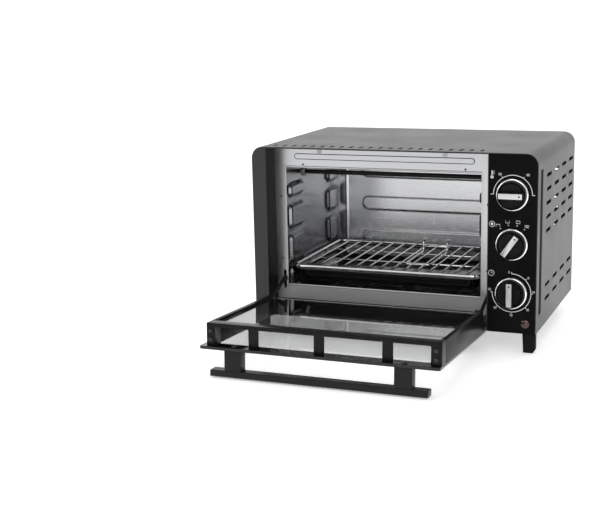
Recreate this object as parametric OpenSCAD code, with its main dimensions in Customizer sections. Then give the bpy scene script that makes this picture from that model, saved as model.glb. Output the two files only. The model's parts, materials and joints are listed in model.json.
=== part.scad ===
// Mini toaster oven with a drop-down double-glazed door, three rotary controls,
// a wire rack, a baking tray and a wire lifting handle.
// Oven coordinates: X to the right, Y from the front plane (0) to the back, Z up from the table.
// place() at the end moves everything so that the origin is the middle of the footprint.

/* [Casing] */
// Width of the casing
body_w = 400; // [390:1:430]
// Depth of the casing, front plane to back panel
body_d = 266; // [262:1:300]
// Height of the casing without its feet
body_h = 238; // [234:1:250]
// Height of the feet
foot_h = 26; // [25:1:32]
// Corner radius of the wrap-over cover
corner_r = 16; // [8:1:18]
// Thickness of the sheet steel
sheet = 1; // [0.8:0.1:1.2]

/* [Cavity] */
// Width of the oven mouth
mouth_w = 281; // [275:1:284]
// Height of the cavity floor above the underside of the casing
floor_rise = 7; // [5:0.5:9]
// Depth of the recess that the door frame closes into
recess_d = 33.5; // [33:0.5:36]

/* [Door] */
// How far the door opens from the closed position, in degrees
open_angle = 87; // [80:1:87]
// Thickness of the outer door panel
panel_t = 4; // [3:0.5:4.2]
// Depth of the door frame from outer face to rim
frame_d = 32.7; // [30:0.1:32.8]

/* [Controls] */
// Height of the middle knob above the table
knob_mid_z = 145.5; // [144:0.5:147]
// Distance between neighbouring knobs
knob_pitch = 65; // [62:1:66]
// Diameter of the chrome ring round each knob
ring_d = 43; // [38:1:44]

/* [Accessories] */
// Outside width of the rack and the tray
rack_w = 276; // [272:1:277]
// Outside depth of the rack and the tray
rack_d = 198; // [180:1:202]
// Number of cross wires in the rack
rack_wires = 14; // [10:1:14]

/* [Hidden] */
$fn = 48;
eps = 0.01;

// Casing
half_w = body_w / 2;
bottom_z = foot_h;
top_z = foot_h + body_h;
inner_x = half_w - sheet - 0.2;
door_x0 = -179.5;
door_x1 = 134.5;
door_mid = (door_x0 + door_x1) / 2;
panel_x0 = door_x1 + 1.1;
recess_top = top_z - 2;
spacer_d = 4;
vent_y = [73, 128, 182, 236];
vent_z = [60.5, 79.5, 153.5, 172.2, 190.9, 209.6, 228.3];
vent_len = 32;
vent_w = 4.8;
back_screws = [[-190, 60], [-190, 150], [-190, 235], [190, 60], [190, 150], [190, 235], [-60, 256], [60, 256]];

// Cavity
mouth_x0 = door_mid - mouth_w / 2;
mouth_x1 = door_mid + mouth_w / 2;
mouth_z0 = 62.5;
mouth_z1 = 233;
liner = 0.8;
cav_y0 = recess_d + liner;
cav_y1 = 247;
cav_z0 = bottom_z + floor_rise;
cav_z1 = 238;
pad_out = 5;
pad_rows = [[58, 84], [95, 133], [143, 176], [188, 206]];
pad_cols = [[40, 92], [190, 238]];
heater_r = 3.2;
upper_heater_y = [100, 185];
upper_heater_z = 217;
lower_heater_y = [66, 185];
lower_heater_z = 52.7;
heater_x0 = mouth_x0 - 13;
heater_x1 = mouth_x1 + 13;

// Door, drawn closed and then swung open about the hinge line
hinge_y = 7.5;
hinge_z = 31.5;
pin_r = 1.5;
boss_r = 2.8;
panel_z0 = bottom_z + 0.3;
panel_z1 = top_z - 1.7;
frame_x0 = door_x0 + 8;
frame_x1 = door_x1 - 0.6;
frame_z0 = 55;
frame_z1 = panel_z1 - 7.5;
rail_w = 10.5;
lip_w = 6;
glass_t = 3.2;
glass_recess = 3.3;
glass_y1 = frame_d - glass_recess;
glass_y0 = glass_y1 - glass_t;
end_rail_w = 16;
window_x = [[-160, -114], [-100.5, -27], [-13.5, 60.5], [74, 120.5]];
arm_x = [-168, 130.4];
arm_y = 27.5;
arm_z = 60;
arm_len = 70;
arm_angle = 20;
arm_pin_r = 1.25;
bar_len = 284;
bar_w = 16;
bar_t = 8.5;
post_len = 25.5;
post_w = 22;
post_pitch = 222;

// Controls
knob_x = 167.3;
knob_z = [knob_mid_z + knob_pitch, knob_mid_z, knob_mid_z - knob_pitch];
knob_rest = [-90, -35, 0];
knob_r = ring_d / 2 - 2.2;
knob_h = 17;
shaft_r = 3;
lamp_x = 186;
lamp_z = 39.6;
lamp_r = 4.6;

// Accessories
rack_y0 = 40;
rack_z = 88.9;
wire_r = 2.5;
cross_r = 1.3;
tray_rim_z = 84.3;
tray_rim_t = 1.4;
tray_h = 17;
grip_y0 = 78;
grip_z = rack_z + wire_r + 1.55;

// Middle of the footprint, with the door open
open_front_y = hinge_y - (panel_z1 - 0.6 - hinge_z) * sin(open_angle)
    - (post_len + bar_t + hinge_y) * cos(open_angle);
mid_y = (open_front_y + body_d + spacer_d) / 2;

// ---------- helpers ----------

// A flat outline in X and Z, pushed along Y
module along_y(y0, y1) {
    translate([0, y1, 0]) rotate([90, 0, 0]) linear_extrude(y1 - y0) children();
}

// A flat outline in Y and Z, pushed along X
module along_x(x0, x1) {
    translate([x0, 0, 0]) rotate([90, 0, 90]) linear_extrude(x1 - x0) children();
}

// A box between two corners
module block(a, b) {
    translate(a) cube([b[0] - a[0], b[1] - a[1], b[2] - a[2]]);
}

// A rectangle with rounded corners between two corners, flat
module round_rect(a, b, r) {
    translate([a[0] + r, a[1]]) square([b[0] - a[0] - 2 * r, b[1] - a[1]]);
    translate([a[0], a[1] + r]) square([b[0] - a[0], b[1] - a[1] - 2 * r]);
    for (x = [a[0] + r, b[0] - r], y = [a[1] + r, b[1] - r]) translate([x, y]) circle(r);
}

// A cylinder along X from x0 to x1
module rod_x(x0, x1, r) {
    translate([x0, 0, 0]) rotate([0, 90, 0]) cylinder(h = x1 - x0, r = r);
}

// A cylinder along Y from y0 to y1
module rod_y(y0, y1, r) {
    translate([0, y1, 0]) rotate([90, 0, 0]) cylinder(h = y1 - y0, r = r);
}

// A long slot with round ends, flat, centred
module slot(length, width) {
    square([length - width, width], center = true);
    for (s = [-1, 1]) translate([s * (length - width) / 2, 0]) circle(width / 2);
}

// The casing outline in X and Z: square at the bottom, rounded at the top, shrunk by inset
module casing_outline(inset) {
    w = half_w - inset;
    r = max(corner_r - inset, 1);
    translate([-w, bottom_z]) square([2 * w, body_h - inset - r]);
    translate([-w + r, bottom_z]) square([2 * w - 2 * r, body_h - inset]);
    for (s = [-1, 1]) translate([s * (w - r), top_z - inset - r]) circle(r);
}

// Swings the closed door to where it rests, open
module door_open() {
    translate([0, hinge_y, hinge_z]) rotate([open_angle, 0, 0]) translate([0, -hinge_y, -hinge_z])
        children();
}

// A countersunk-look pan head screw with a cross recess, pointing along -Y
module pan_screw(r, length) {
    difference() {
        union() {
            rod_y(0, r * 0.55, r);
            rod_y(r * 0.55 - eps, length, r * 0.5);
        }
        block([-r * 0.6, -1, -r * 0.12], [r * 0.6, r * 0.25, r * 0.12]);
        block([-r * 0.12, -1, -r * 0.6], [r * 0.12, r * 0.25, r * 0.6]);
    }
}

// ---------- casing ----------

// Pressed side vents: four columns, five rows above and two rows below
module side_vents(x0, x1) {
    for (y = vent_y, z = vent_z) along_x(x0, x1) translate([y, z]) slot(vent_len, vent_w);
}

// Pressed groove near a side's front edge: it slopes in towards the back and steps out again
module side_groove(depth) {
    translate([0, 0, 48]) linear_extrude(193)
        polygon([[half_w + 1, 16], [half_w, 16], [half_w - depth, 30], [half_w, 31.5], [half_w + 1, 31.5]]);
}

module outer_cover() {
    color("#55585b") difference() {
        union() {
            along_y(0, body_d - sheet) difference() {
                casing_outline(0);
                casing_outline(sheet);
                translate([-half_w + sheet, bottom_z - 1]) square([body_w - 2 * sheet, 20]);
            }
            for (s = [0, 1]) mirror([s, 0, 0]) translate([0, 0, 46.5]) linear_extrude(196)
                polygon([[half_w - 0.5, 14], [half_w - 1, 14], [half_w - 4, 28.6], [half_w - 4, 31.5],
                    [half_w - 1, 33], [half_w - 0.5, 33]]);
        }
        for (i = [0:21]) translate([-172 + 14 * i, 20, top_z - sheet - 1])
            linear_extrude(sheet + 2) rotate(90) slot(16, 4.4);
        side_vents(-half_w - 1, -half_w + sheet + 1);
        side_vents(half_w - sheet - 1, half_w + 1);
        for (s = [0, 1]) mirror([s, 0, 0]) side_groove(3);
    }
}

// Front lip at the left and the walls of the recess that the door closes into
module front_surround() {
    color("#3d3f41") {
        along_y(0, sheet) difference() {
            intersection() {
                casing_outline(sheet + 0.2);
                translate([-half_w, bottom_z]) square([half_w + door_x0, body_h]);
            }
            translate([door_x0 - sheet, bottom_z - 1]) square([sheet + 1, recess_top - bottom_z + 1]);
        }
        along_y(0, recess_d) difference() {
            translate([door_x0 - sheet, bottom_z + 1.5])
                square([door_x1 - door_x0 + 2 * sheet, recess_top + 0.8 - bottom_z - 1.5]);
            translate([door_x0, bottom_z]) square([door_x1 - door_x0, recess_top - bottom_z]);
        }
    }
}

module base_plate() {
    front = 18;
    color("#8b8e91") difference() {
        union() {
            block([-inner_x, front, bottom_z], [inner_x, body_d - sheet - 0.2, bottom_z + sheet]);
            block([panel_x0, 5.2, bottom_z], [inner_x, front + eps, bottom_z + sheet]);
            block([-inner_x, 1.4, bottom_z], [door_x0 - sheet - 0.3, front + eps, bottom_z + sheet]);
            for (s = [-1, 1]) block(
                [s * (inner_x - 0.5) - 0.5, 24, bottom_z],
                [s * (inner_x - 0.5) + 0.5, body_d - 6, bottom_z + 10]
            );
        }
        for (x = [-120:30:90], y = [90, 200]) translate([x, y, bottom_z - 1]) linear_extrude(4) slot(20, 3);
        for (x = [142:12:190], y = [110, 150]) translate([x, y, bottom_z - 1])
            linear_extrude(4) rotate(90) slot(24, 3);
    }
}

module back_panel() {
    color("#55585b") difference() {
        along_y(body_d - sheet, body_d) casing_outline(0);
        for (x = [-150:30:90], z = [70:18:214]) translate([x, 0, z])
            along_y(body_d - 3, body_d + 1) slot(22, 3);
        for (x = [140, 156, 172], z = [110:14:222]) translate([x, 0, z])
            along_y(body_d - 3, body_d + 1) slot(11, 3);
        translate([165, 0, 58]) rod_y(body_d - 3, body_d + 1, 6);
        for (p = back_screws) translate([p[0], 0, p[1]]) rod_y(body_d - 3, body_d + 1, 1.75);
        for (s = [-1, 1]) translate([s * 150, 0, 238]) rod_y(body_d - 3, body_d + 1, 2.1);
    }
}

// Bush that lines the hole where a supply cord enters
module cord_inlet() {
    color("#18191a") translate([165, body_d, 58]) rotate([-90, 0, 0]) rotate_extrude()
        polygon([[3.6, -4], [7.4, -4], [7.4, -1.3], [6, -1.3], [6, 0], [9, 0], [9, 1.4], [6.6, 3.8], [3.6, 3.8]]);
}

module feet() {
    color("#161718") for (s = [-1, 1], p = [[0, 1.5], [-20.5, body_d - 34]]) mirror([s < 0 ? 1 : 0, 0, 0])
        translate([p[0], p[1], 0]) {
            along_y(0, 9) polygon([[182, bottom_z], [199.5, bottom_z], [199.5, 5], [196, 0], [183.4, 0]]);
            along_y(9 - eps, 22) polygon([[184, bottom_z - 3], [197, bottom_z - 3], [197, bottom_z], [184, bottom_z]]);
            along_x(189, 192) polygon([[9 - eps, bottom_z - 3 + eps], [9 - eps, 6], [20, bottom_z - 3 + eps]]);
        }
}

module wall_spacers() {
    color("#161718") for (s = [-1, 1]) translate([s * 150, body_d, 238]) {
        rotate([-90, 0, 0]) cylinder(h = spacer_d, r = 7);
        translate([0, -6, 0]) rotate([-90, 0, 0]) cylinder(h = 6 + eps, r = 2);
    }
}

module cover_screws() {
    color("#2a2b2c") for (p = back_screws) translate([p[0], body_d, p[1]]) mirror([0, 1, 0])
        translate([0, -3.3 * 0.55, 0]) pan_screw(3.3, 8);
}

// ---------- cavity ----------

// Bright front frame: header with a long rib, side flanges with arm slots, sill with a rolled lip
module cavity_front() {
    x0 = door_x0 - sheet;
    x1 = door_x1 + sheet;
    color("#c9cbcd") {
        difference() {
            union() {
                along_y(recess_d, recess_d + liner) difference() {
                    translate([x0, bottom_z + 1.2]) square([x1 - x0, recess_top - bottom_z - 0.5]);
                    translate([mouth_x0, mouth_z0]) square([mouth_w, mouth_z1 - mouth_z0]);
                }
                header_rib(recess_d - 0.6, recess_d + eps, 7.8);
                along_x(mouth_x0, mouth_x1) translate([recess_d + 1.4, mouth_z0]) sill_curl();
                along_x(mouth_x0, mouth_x1) translate([recess_d + 1.4, mouth_z1]) mirror([0, 1]) sill_curl();
                along_y(recess_d - 0.5, recess_d + eps) for (x = [mouth_x0 - 2, mouth_x1 + 0.4])
                    translate([x, mouth_z0]) square([1.6, mouth_z1 - mouth_z0]);
            }
            for (x = arm_x) along_y(recess_d - 3, recess_d + 3) translate([x, 70]) rotate(90) slot(27, 4);
            for (x = [-112, 68]) translate([x, 0, 255]) rod_y(recess_d - 3, recess_d + 3, 1.6);
            header_rib(recess_d + 0.2, recess_d + 2, 6.4);
            for (x = [-171.5, 126.5], z = [100, 190]) translate([x, 0, z]) rod_y(recess_d - 3, recess_d + 3, 1.5);
        }
    }
}

// The header's long pressed rib
module header_rib(y0, y1, width) {
    along_y(y0, y1) translate([door_mid + 2, 247.6]) slot(258 - 7.8 + width, width);
}

// Rolled edge section: a half round with its flat side on the sheet
module sill_curl() {
    difference() {
        circle(1.9);
        translate([-2.5, 0]) square([5, 2.5]);
        circle(1.1);
    }
    translate([0, -0.02]) intersection() {
        difference() {
            circle(1.9);
            circle(1.1);
        }
        translate([-1.9, 0]) square([0.8, 1.6]);
    }
}

// Stepped, pressed pads that leave grooves for the rack and the tray
module rack_pads(x_wall, side) {
    for (c = pad_cols, r = pad_rows) {
        along_x(min(x_wall, x_wall + side * pad_out), max(x_wall, x_wall + side * pad_out))
            round_rect([c[0], r[0]], [c[1], r[1]], 6);
        along_x(min(x_wall, x_wall + side * (pad_out - 2)), max(x_wall, x_wall + side * (pad_out - 2)))
            round_rect([c[0] - 2, r[0] - 1.5], [c[1] + 2, r[1]], 7);
    }
}

// One side wall of the cavity, with the pads facing side and a spring tab on the outside
module cavity_side(x_in, side, arm) {
    x_out = x_in - side * liner;
    tab = arm - side * 4.4;
    difference() {
        union() {
            block([min(x_in, x_out), cav_y0, cav_z0], [max(x_in, x_out), cav_y1, cav_z1]);
            rack_pads(x_in, side);
            block([min(tab, x_out), 192, 71], [max(tab, x_out), 193.2, 81]);
        }
        for (y = upper_heater_y) translate([0, y, upper_heater_z]) rod_x(x_in - 10, x_in + 10, 5);
        for (y = lower_heater_y) translate([0, y, lower_heater_z]) rod_x(x_in - 10, x_in + 10, 5);
        translate([0, 50.9, 69]) rod_x(x_in - 12, x_in + 12, 1.6);
        translate([arm, 0, 76.4]) rod_y(190, 196, 2.5);
        for (y = lower_heater_y) translate([0, y, lower_heater_z])
            rod_x(min(x_in, x_in + side * 8), max(x_in, x_in + side * 8), 6.6);
    }
}

module cavity_left_wall() {
    color("#9fa2a4") cavity_side(mouth_x0, 1, arm_x[0]);
}

module cavity_right_wall() {
    color("#9fa2a4") cavity_side(mouth_x1, -1, arm_x[1]);
}

// Rear wall with a big pressed frame line and three long ribs
module cavity_rear_wall() {
    y = cav_y1;
    color("#a9acae") {
        along_y(y, y + liner) translate([mouth_x0 - liner, cav_z0]) square([mouth_w + 2 * liner, cav_z1 - cav_z0]);
        along_y(y - 1.5, y + eps) difference() {
            round_rect([mouth_x0 + 11, 54], [mouth_x1 - 11, 226], 10);
            round_rect([mouth_x0 + 15, 58], [mouth_x1 - 15, 222], 7);
        }
        for (z = [199.5, 148.5, 97]) along_y(y - 2, y + eps) translate([door_mid, z]) slot(202, 20);
        translate([mouth_x0 + 33, 0, 73]) rod_y(y - 1.4, y + eps, 2);
        translate([mouth_x1 - 33, 0, 73]) rod_y(y - 1.4, y + eps, 2);
    }
}

module cavity_roof() {
    color("#9fa2a4") {
        block([mouth_x0 - liner, cav_y0, cav_z1], [mouth_x1 + liner, cav_y1 + liner, cav_z1 + liner]);
        translate([0, 0, cav_z1 - 1.2]) linear_extrude(1.2 + eps) difference() {
            round_rect([mouth_x0 + 16, cav_y0 + 24], [mouth_x1 - 16, cav_y1 - 22], 12);
            round_rect([mouth_x0 + 20, cav_y0 + 28], [mouth_x1 - 20, cav_y1 - 26], 9);
        }
    }
}

module cavity_floor() {
    color("#6f7274") {
        block([mouth_x0 - liner, cav_y0, cav_z0 - liner], [mouth_x1 + liner, cav_y1 + liner, cav_z0]);
        translate([0, 0, cav_z0 - eps]) linear_extrude(1.6) difference() {
            round_rect([mouth_x0 + 16, cav_y0 + 22], [mouth_x1 - 16, cav_y1 - 28], 10);
            round_rect([mouth_x0 + 20, cav_y0 + 26], [mouth_x1 - 20, cav_y1 - 32], 7);
        }
    }
}

// Clear soft buttons that the closed door frame rests on
module door_bumpers() {
    color("#d9dcde") for (x = [-112, 68]) translate([x, 0, 255]) {
        rod_y(recess_d + liner, recess_d + liner + 1.4, 3);
        rod_y(recess_d - 0.1, recess_d + liner + 0.1, 1.5);
        rod_y(recess_d - 0.6, recess_d, 3.4);
    }
}

// ---------- heating ----------

module heater_rods(ys, z) {
    for (y = ys) translate([0, y, z]) {
        rod_x(heater_x0, heater_x1, heater_r);
        rod_x(heater_x0 - 7, heater_x0 + eps, 1.3);
        rod_x(heater_x1 - eps, heater_x1 + 7, 1.3);
    }
}

module upper_heaters() {
    color("#1c1c1d") heater_rods(upper_heater_y, upper_heater_z);
}

module lower_heaters() {
    color("#1c1c1d") heater_rods(lower_heater_y, lower_heater_z);
}

// Ceramic bushes where the heating rods pass through the side walls
module heater_insulators() {
    color("#d8d4c8") for (p = [
        [upper_heater_y[0], upper_heater_z], [upper_heater_y[1], upper_heater_z],
        [lower_heater_y[0], lower_heater_z], [lower_heater_y[1], lower_heater_z]
    ], s = [-1, 1]) translate([s < 0 ? mouth_x0 : mouth_x1, p[0], p[1]]) mirror([s < 0 ? 0 : 1, 0, 0])
        rotate([0, 90, 0]) rotate_extrude()
        polygon([
            [heater_r, -8], [6.8, -8], [6.8, -liner], [4.9, -liner], [4.9, 0], [6.2, 0], [6.2, 3.2], [heater_r, 3.2]
        ]);
}

// Straps that join the rods in pairs at the left, outside the cavity
module heater_jumpers() {
    x = heater_x0 - 4.2;
    color("#b9b6a8") {
        for (p = [[upper_heater_y, upper_heater_z], [lower_heater_y, lower_heater_z]]) along_x(x, x + 0.8)
            difference() {
                translate([(p[0][0] + p[0][1]) / 2, p[1]]) slot(p[0][1] - p[0][0] + 9, 9);
                for (y = p[0]) translate([y, p[1]]) circle(1.3);
            }
    }
}

// ---------- controls ----------

module control_outline(inset) {
    intersection() {
        casing_outline(sheet + 0.2 + inset);
        translate([panel_x0 + inset, bottom_z + 0.2 + inset]) square([100, body_h]);
    }
}

module control_panel() {
    color("#141517") difference() {
        union() {
            along_y(0, 2.4) control_outline(0);
            along_y(2.4 - eps, 5) difference() {
                control_outline(0);
                control_outline(1.8);
            }
        }
        for (z = knob_z) translate([knob_x, 0, z]) rod_y(-1, 4, 4.2);
        translate([lamp_x, 0, lamp_z]) rod_y(-1, 4, lamp_r);
    }
}

module control_bracket() {
    color("#a9acae") difference() {
        union() {
            block([panel_x0 + 2, 5.2, bottom_z + 12], [197, 6.4, top_z - 18]);
            block([panel_x0 + 2, 6.4 - eps, bottom_z + 12], [panel_x0 + 3.2, 26, bottom_z + 22]);
            block([panel_x0 + 2, 6.4 - eps, top_z - 28], [panel_x0 + 3.2, 26, top_z - 18]);
        }
        for (z = knob_z) translate([knob_x, 0, z]) {
            rod_y(4, 8, 5.2);
            for (s = [-1, 1]) translate([s * 14, 0, 0]) rod_y(4, 8, 1.7);
        }
        translate([lamp_x, 0, lamp_z]) rod_y(4, 8, lamp_r + 0.4);
    }
}

// The bearing nose, bored for its shaft, and two fixing screws that every control has
module control_nose(z) {
    translate([knob_x, 0, z]) {
        difference() {
            rod_y(3.2, 8, 5);
            rod_y(2, 9, shaft_r + 0.05);
        }
        for (s = [-1, 1]) translate([s * 14, 0, 0]) {
            rod_y(4, 8, 1.6);
            rod_y(3.2, 5.2, 2.8);
        }
    }
}

module thermostat() {
    z = knob_z[0];
    color("#d8d3c4") {
        control_nose(z);
        difference() {
            block([knob_x - 19, 8 - eps, z - 11], [knob_x + 19, 24, z + 11]);
            translate([knob_x, 0, z]) rod_y(7, 19.2, shaft_r + 0.05);
        }
        block([knob_x - 19, 24 - eps, z - 4], [knob_x - 12, 34, z - 3.2]);
        block([knob_x - 19, 24 - eps, z + 4], [knob_x - 12, 34, z + 4.8]);
    }
}

module function_switch() {
    z = knob_z[1];
    color("#2b2a28") {
        control_nose(z);
        difference() {
            block([knob_x - 15.6, 8 - eps, z - 15], [knob_x + 15.6, 34, z + 15]);
            translate([knob_x, 0, z]) rod_y(7, 19.2, shaft_r + 0.05);
        }
        for (i = [-1:1]) block([knob_x + 9 * i - 3, 34 - eps, z - 9], [knob_x + 9 * i + 3, 42, z - 8.2]);
        for (i = [-1, 1]) block([knob_x + 9 * i - 3, 34 - eps, z + 8], [knob_x + 9 * i + 3, 42, z + 8.8]);
    }
}

module timer_movement() {
    z = knob_z[2];
    color("#b9bcbe") {
        control_nose(z);
        difference() {
            translate([knob_x, 0, z]) rod_y(8 - eps, 34, 21);
            translate([knob_x, 0, z]) rod_y(7, 19.2, shaft_r + 0.05);
        }
        translate([knob_x, 0, z]) rod_y(34 - eps, 38, 2);
    }
}

module timer_bell() {
    color("#d4d6d8") translate([knob_x, 38.3, knob_z[2]]) rotate([-90, 0, 0]) rotate_extrude()
        polygon([[2.1, 8], [2.1, 9], [9, 9], [16, 6.4], [19, 1], [19, 0], [18, 0], [18, 1], [15.4, 5.6], [9, 8]]);
}

module lamp_lens() {
    color("#7c1418") translate([lamp_x, 0, lamp_z]) rotate([90, 0, 0]) rotate_extrude() difference() {
        union() {
            translate([0, -3.4]) square([lamp_r - 0.05, 3.4]);
            intersection() {
                translate([0, -6.2]) circle(8.6);
                square([5.6, 4]);
            }
            square([5.6, 0.5]);
        }
        translate([-20, -20]) square([20, 40]);
        translate([0, -4]) square([3, 3.2]);
    }
}

module lamp_holder() {
    color("#1c1d1e") translate([lamp_x, 0, lamp_z]) {
        difference() {
            rod_y(6.8, 26, 4.4);
            rod_y(6, 20, 3);
        }
        rod_y(9, 19.6, 2.4);
        for (s = [-1, 1]) translate([s * 2, 0, 0]) rod_y(26 - eps, 32, 0.6);
    }
}

module terminal_block() {
    color("#e6e2d6") difference() {
        block([148, 222, bottom_z + sheet], [184, 240, bottom_z + sheet + 16]);
        for (i = [0:2]) {
            translate([154 + 12 * i, 0, bottom_z + 9]) rod_y(221, 241, 1.8);
            translate([154 + 12 * i, 231, bottom_z + 12]) cylinder(h = 8, r = 2.2);
        }
    }
}

// A wire made of straight runs with rounded corners
module wire_run(points, r) {
    for (i = [0:len(points) - 2]) {
        d = points[i + 1] - points[i];
        l = norm(d);
        translate(points[i]) rotate([0, acos(d[2] / l), atan2(d[1], d[0])]) cylinder(h = l, r = r);
        if (i > 0) translate(points[i]) sphere(r = r + 0.15);
    }
}

module wiring() {
    color("#8a3b2e") {
        wire_run([[154, 221.9, 35], [154, 205, 35], [154, 60, 130], [157.8, 44, 136.9]], 1.2);
        wire_run([[166, 221.9, 35], [166, 200, 35], [190, 60, 100], [188, 34, 44], [188, 32.1, 39.6]], 1.2);
        wire_run([[178, 221.9, 35], [178, 190, 60], [152, 60, 180], [151.8, 36, 206.9]], 1.2);
    }
    color("#c9b98a") {
        wire_run([[140, upper_heater_y[1], upper_heater_z], [142, 150, 226], [151.8, 40, 216]], 1.2);
        wire_run([[140, lower_heater_y[1], lower_heater_z], [143, 150, 90], [158.3, 48, 153]], 1.2);
    }
}

// ---------- knobs ----------

// Draws a knob part at its place, turned to where its pointer rests
module at_knob(i) {
    translate([knob_x, 0, knob_z[i]]) rotate([0, -knob_rest[i], 0]) children();
}

// Black knob with a dished face and one raised grip bar that points up at rest angle zero
module knob() {
    color("#17181a") difference() {
        union() {
            difference() {
                union() {
                    rod_y(-5.2, -1.2, knob_r + 0.6);
                    rod_y(-11.5, -5.2 + eps, knob_r - 0.2);
                }
                rotate([90, 0, 0]) rotate_extrude()
                    polygon([[0, 9.2], [knob_r - 3.4, 9.2], [knob_r - 1.6, 11.7], [0, 11.7]]);
            }
            intersection() {
                along_y(-knob_h, -9.2 + eps) square([9.6, 2 * knob_r], center = true);
                rod_y(-knob_h, -8, knob_r - 1.9);
            }
        }
        rod_y(-13, 0, shaft_r);
        along_y(-knob_h - 1, -knob_h + 0.9) square([7.2, 31.2], center = true);
    }
}

module knob_ring() {
    color("#e3e5e7") rotate([90, 0, 0]) rotate_extrude() polygon([
        [knob_r + 0.6, 1.2], [ring_d / 2, 1.2], [ring_d / 2, 3.2], [ring_d / 2 - 0.9, 5],
        [knob_r + 0.6, 5.6], [knob_r - 0.2, 5.6], [knob_r - 0.2, 5.2], [knob_r + 0.6, 5.2]
    ]);
}

module knob_insert() {
    color("#d2d4d6") difference() {
        along_y(-knob_h - 0.2, -knob_h + 0.9) square([7.2, 31.2], center = true);
        translate([0, 0, 12]) rod_y(-knob_h - 1, -knob_h + 0.3, 1.2);
    }
}

module knob_shaft() {
    color("#c4c6c8") rod_y(-13, 19, shaft_r);
}

module temperature_knob() { at_knob(0) knob(); }
module temperature_knob_ring() { at_knob(0) knob_ring(); }
module temperature_knob_insert() { at_knob(0) knob_insert(); }
module temperature_shaft() { at_knob(0) knob_shaft(); }
module function_knob() { at_knob(1) knob(); }
module function_knob_ring() { at_knob(1) knob_ring(); }
module function_knob_insert() { at_knob(1) knob_insert(); }
module function_shaft() { at_knob(1) knob_shaft(); }
module timer_knob() { at_knob(2) knob(); }
module timer_knob_ring() { at_knob(2) knob_ring(); }
module timer_knob_insert() { at_knob(2) knob_insert(); }
module timer_shaft() { at_knob(2) knob_shaft(); }

// ---------- door, drawn closed ----------

// Tinted outer panel, rounded at its top corners, drilled for the handle screws
module door_outer_panel() {
    top = panel_z1 - 0.6;
    color([0.08, 0.09, 0.1, 0.75]) door_open() difference() {
        along_y(0, panel_t) {
            translate([door_x0 + 0.4, panel_z0]) square([door_x1 - door_x0 - 1, top - panel_z0 - 3]);
            translate([door_x0 + 3.4, top - 6]) square([door_x1 - door_x0 - 7, 6]);
            for (x = [door_x0 + 3.4, door_x1 - 3.6]) translate([x, top - 3]) circle(3);
        }
        for (s = [-1, 1]) translate([door_mid + s * post_pitch / 2, 0, panel_z1 - bar_w / 2])
            rod_y(-1, panel_t + 1, 1.7);
    }
}

// One side rail of the door: a box section, notched for the arm, with a lug for the hinge pin
module side_rail(x0, x1, arm) {
    door_open() {
        difference() {
            union() {
                block([x0, panel_t, frame_z0], [x1, frame_d, frame_z1 - end_rail_w]);
                along_x(arm - 3.4, arm + 3.4) round_rect([panel_t + 0.6, hinge_z - 4.2], [panel_t + 8, frame_z0 + 8], 2);
            }
            block([arm - 1.6, -1, hinge_z - 10], [arm + 1.6, frame_d + 1, frame_z0 + 13]);
            translate([0, hinge_y, hinge_z]) rod_x(arm - 8, arm + 8, pin_r);
            glass_room();
        }
        translate([0, arm_y, arm_z]) rod_x(arm - 2, arm + 2, arm_pin_r);
    }
}

module door_left_rail() {
    color("#3a3c3e") side_rail(frame_x0, frame_x0 + rail_w, arm_x[0]);
}

module door_right_rail() {
    color("#3a3c3e") side_rail(frame_x1 - rail_w, frame_x1, arm_x[1]);
}

// Bottom rail between the side rails, at the hinge end
module door_hinge_rail() {
    color("#3a3c3e") door_open() difference() {
        block([frame_x0 + rail_w, panel_t, frame_z0], [frame_x1 - rail_w, glass_y1 + 1, frame_z0 + 9]);
        block([frame_x0 + rail_w + 5, panel_t + 2, frame_z0 - 1], [frame_x1 - rail_w - 5, glass_y0 - 3, frame_z0 + 7]);
        glass_room();
    }
}

// The room that the inner glass takes up, and the opening above it
module glass_room() {
    block([frame_x0 + lip_w, glass_y0, frame_z0 + 2.5], [frame_x1 - lip_w, glass_y1, frame_z1 - end_rail_w + 3.5]);
    block([frame_x0 + lip_w, glass_y0 + 1, frame_z0 + 2.5], [frame_x1 - lip_w, frame_d + 1, frame_z1 - end_rail_w]);
}

// Top rail: a channel whose thin front sheet has four cooling windows down to the outer panel
module door_end_rail() {
    color("#34363a") door_open() difference() {
        block([frame_x0, panel_t, frame_z1 - end_rail_w], [frame_x1, frame_d, frame_z1]);
        for (w = window_x) block([w[0], panel_t - 1, frame_z1 - 5], [w[1], frame_d - 5, frame_z1 + 1]);
        block([window_x[0][0], panel_t - 1, frame_z1 - end_rail_w - 1], [window_x[3][1], frame_d - 5, frame_z1 - 1.5]);
        for (x = [frame_x0 + 5.5, frame_x1 - 6.5], y = [11.5, 22.5]) translate([x, y, frame_z1 - 9])
            cylinder(h = 10, r = 1.3);
        glass_room();
    }
}

module door_inner_glass() {
    color([0.75, 0.78, 0.8, 0.4]) door_open() block(
        [frame_x0 + lip_w + 0.2, glass_y0 + 0.1, frame_z0 + 2.8],
        [frame_x1 - lip_w - 0.2, glass_y1 - 0.1, frame_z1 - end_rail_w + 3.2]
    );
}

module door_hinge_pins() {
    color("#c4c6c8") door_open() for (x = arm_x) translate([0, hinge_y, hinge_z]) rod_x(x - 7.7, x + 3.6, pin_r);
}

module door_screws() {
    color("#b4b6b8") door_open() {
        for (x = [frame_x0 + 5.5, frame_x1 - 6.5], y = [11.5, 22.5])
            translate([x, y, frame_z1 + 2.6 * 0.55]) rotate([-90, 0, 0]) pan_screw(2.6, 9);
        for (s = [-1, 1]) translate([door_mid + s * post_pitch / 2, panel_t + 3.4 * 0.55, panel_z1 - bar_w / 2])
            mirror([0, 1, 0]) pan_screw(3.4, 13);
    }
}

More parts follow.
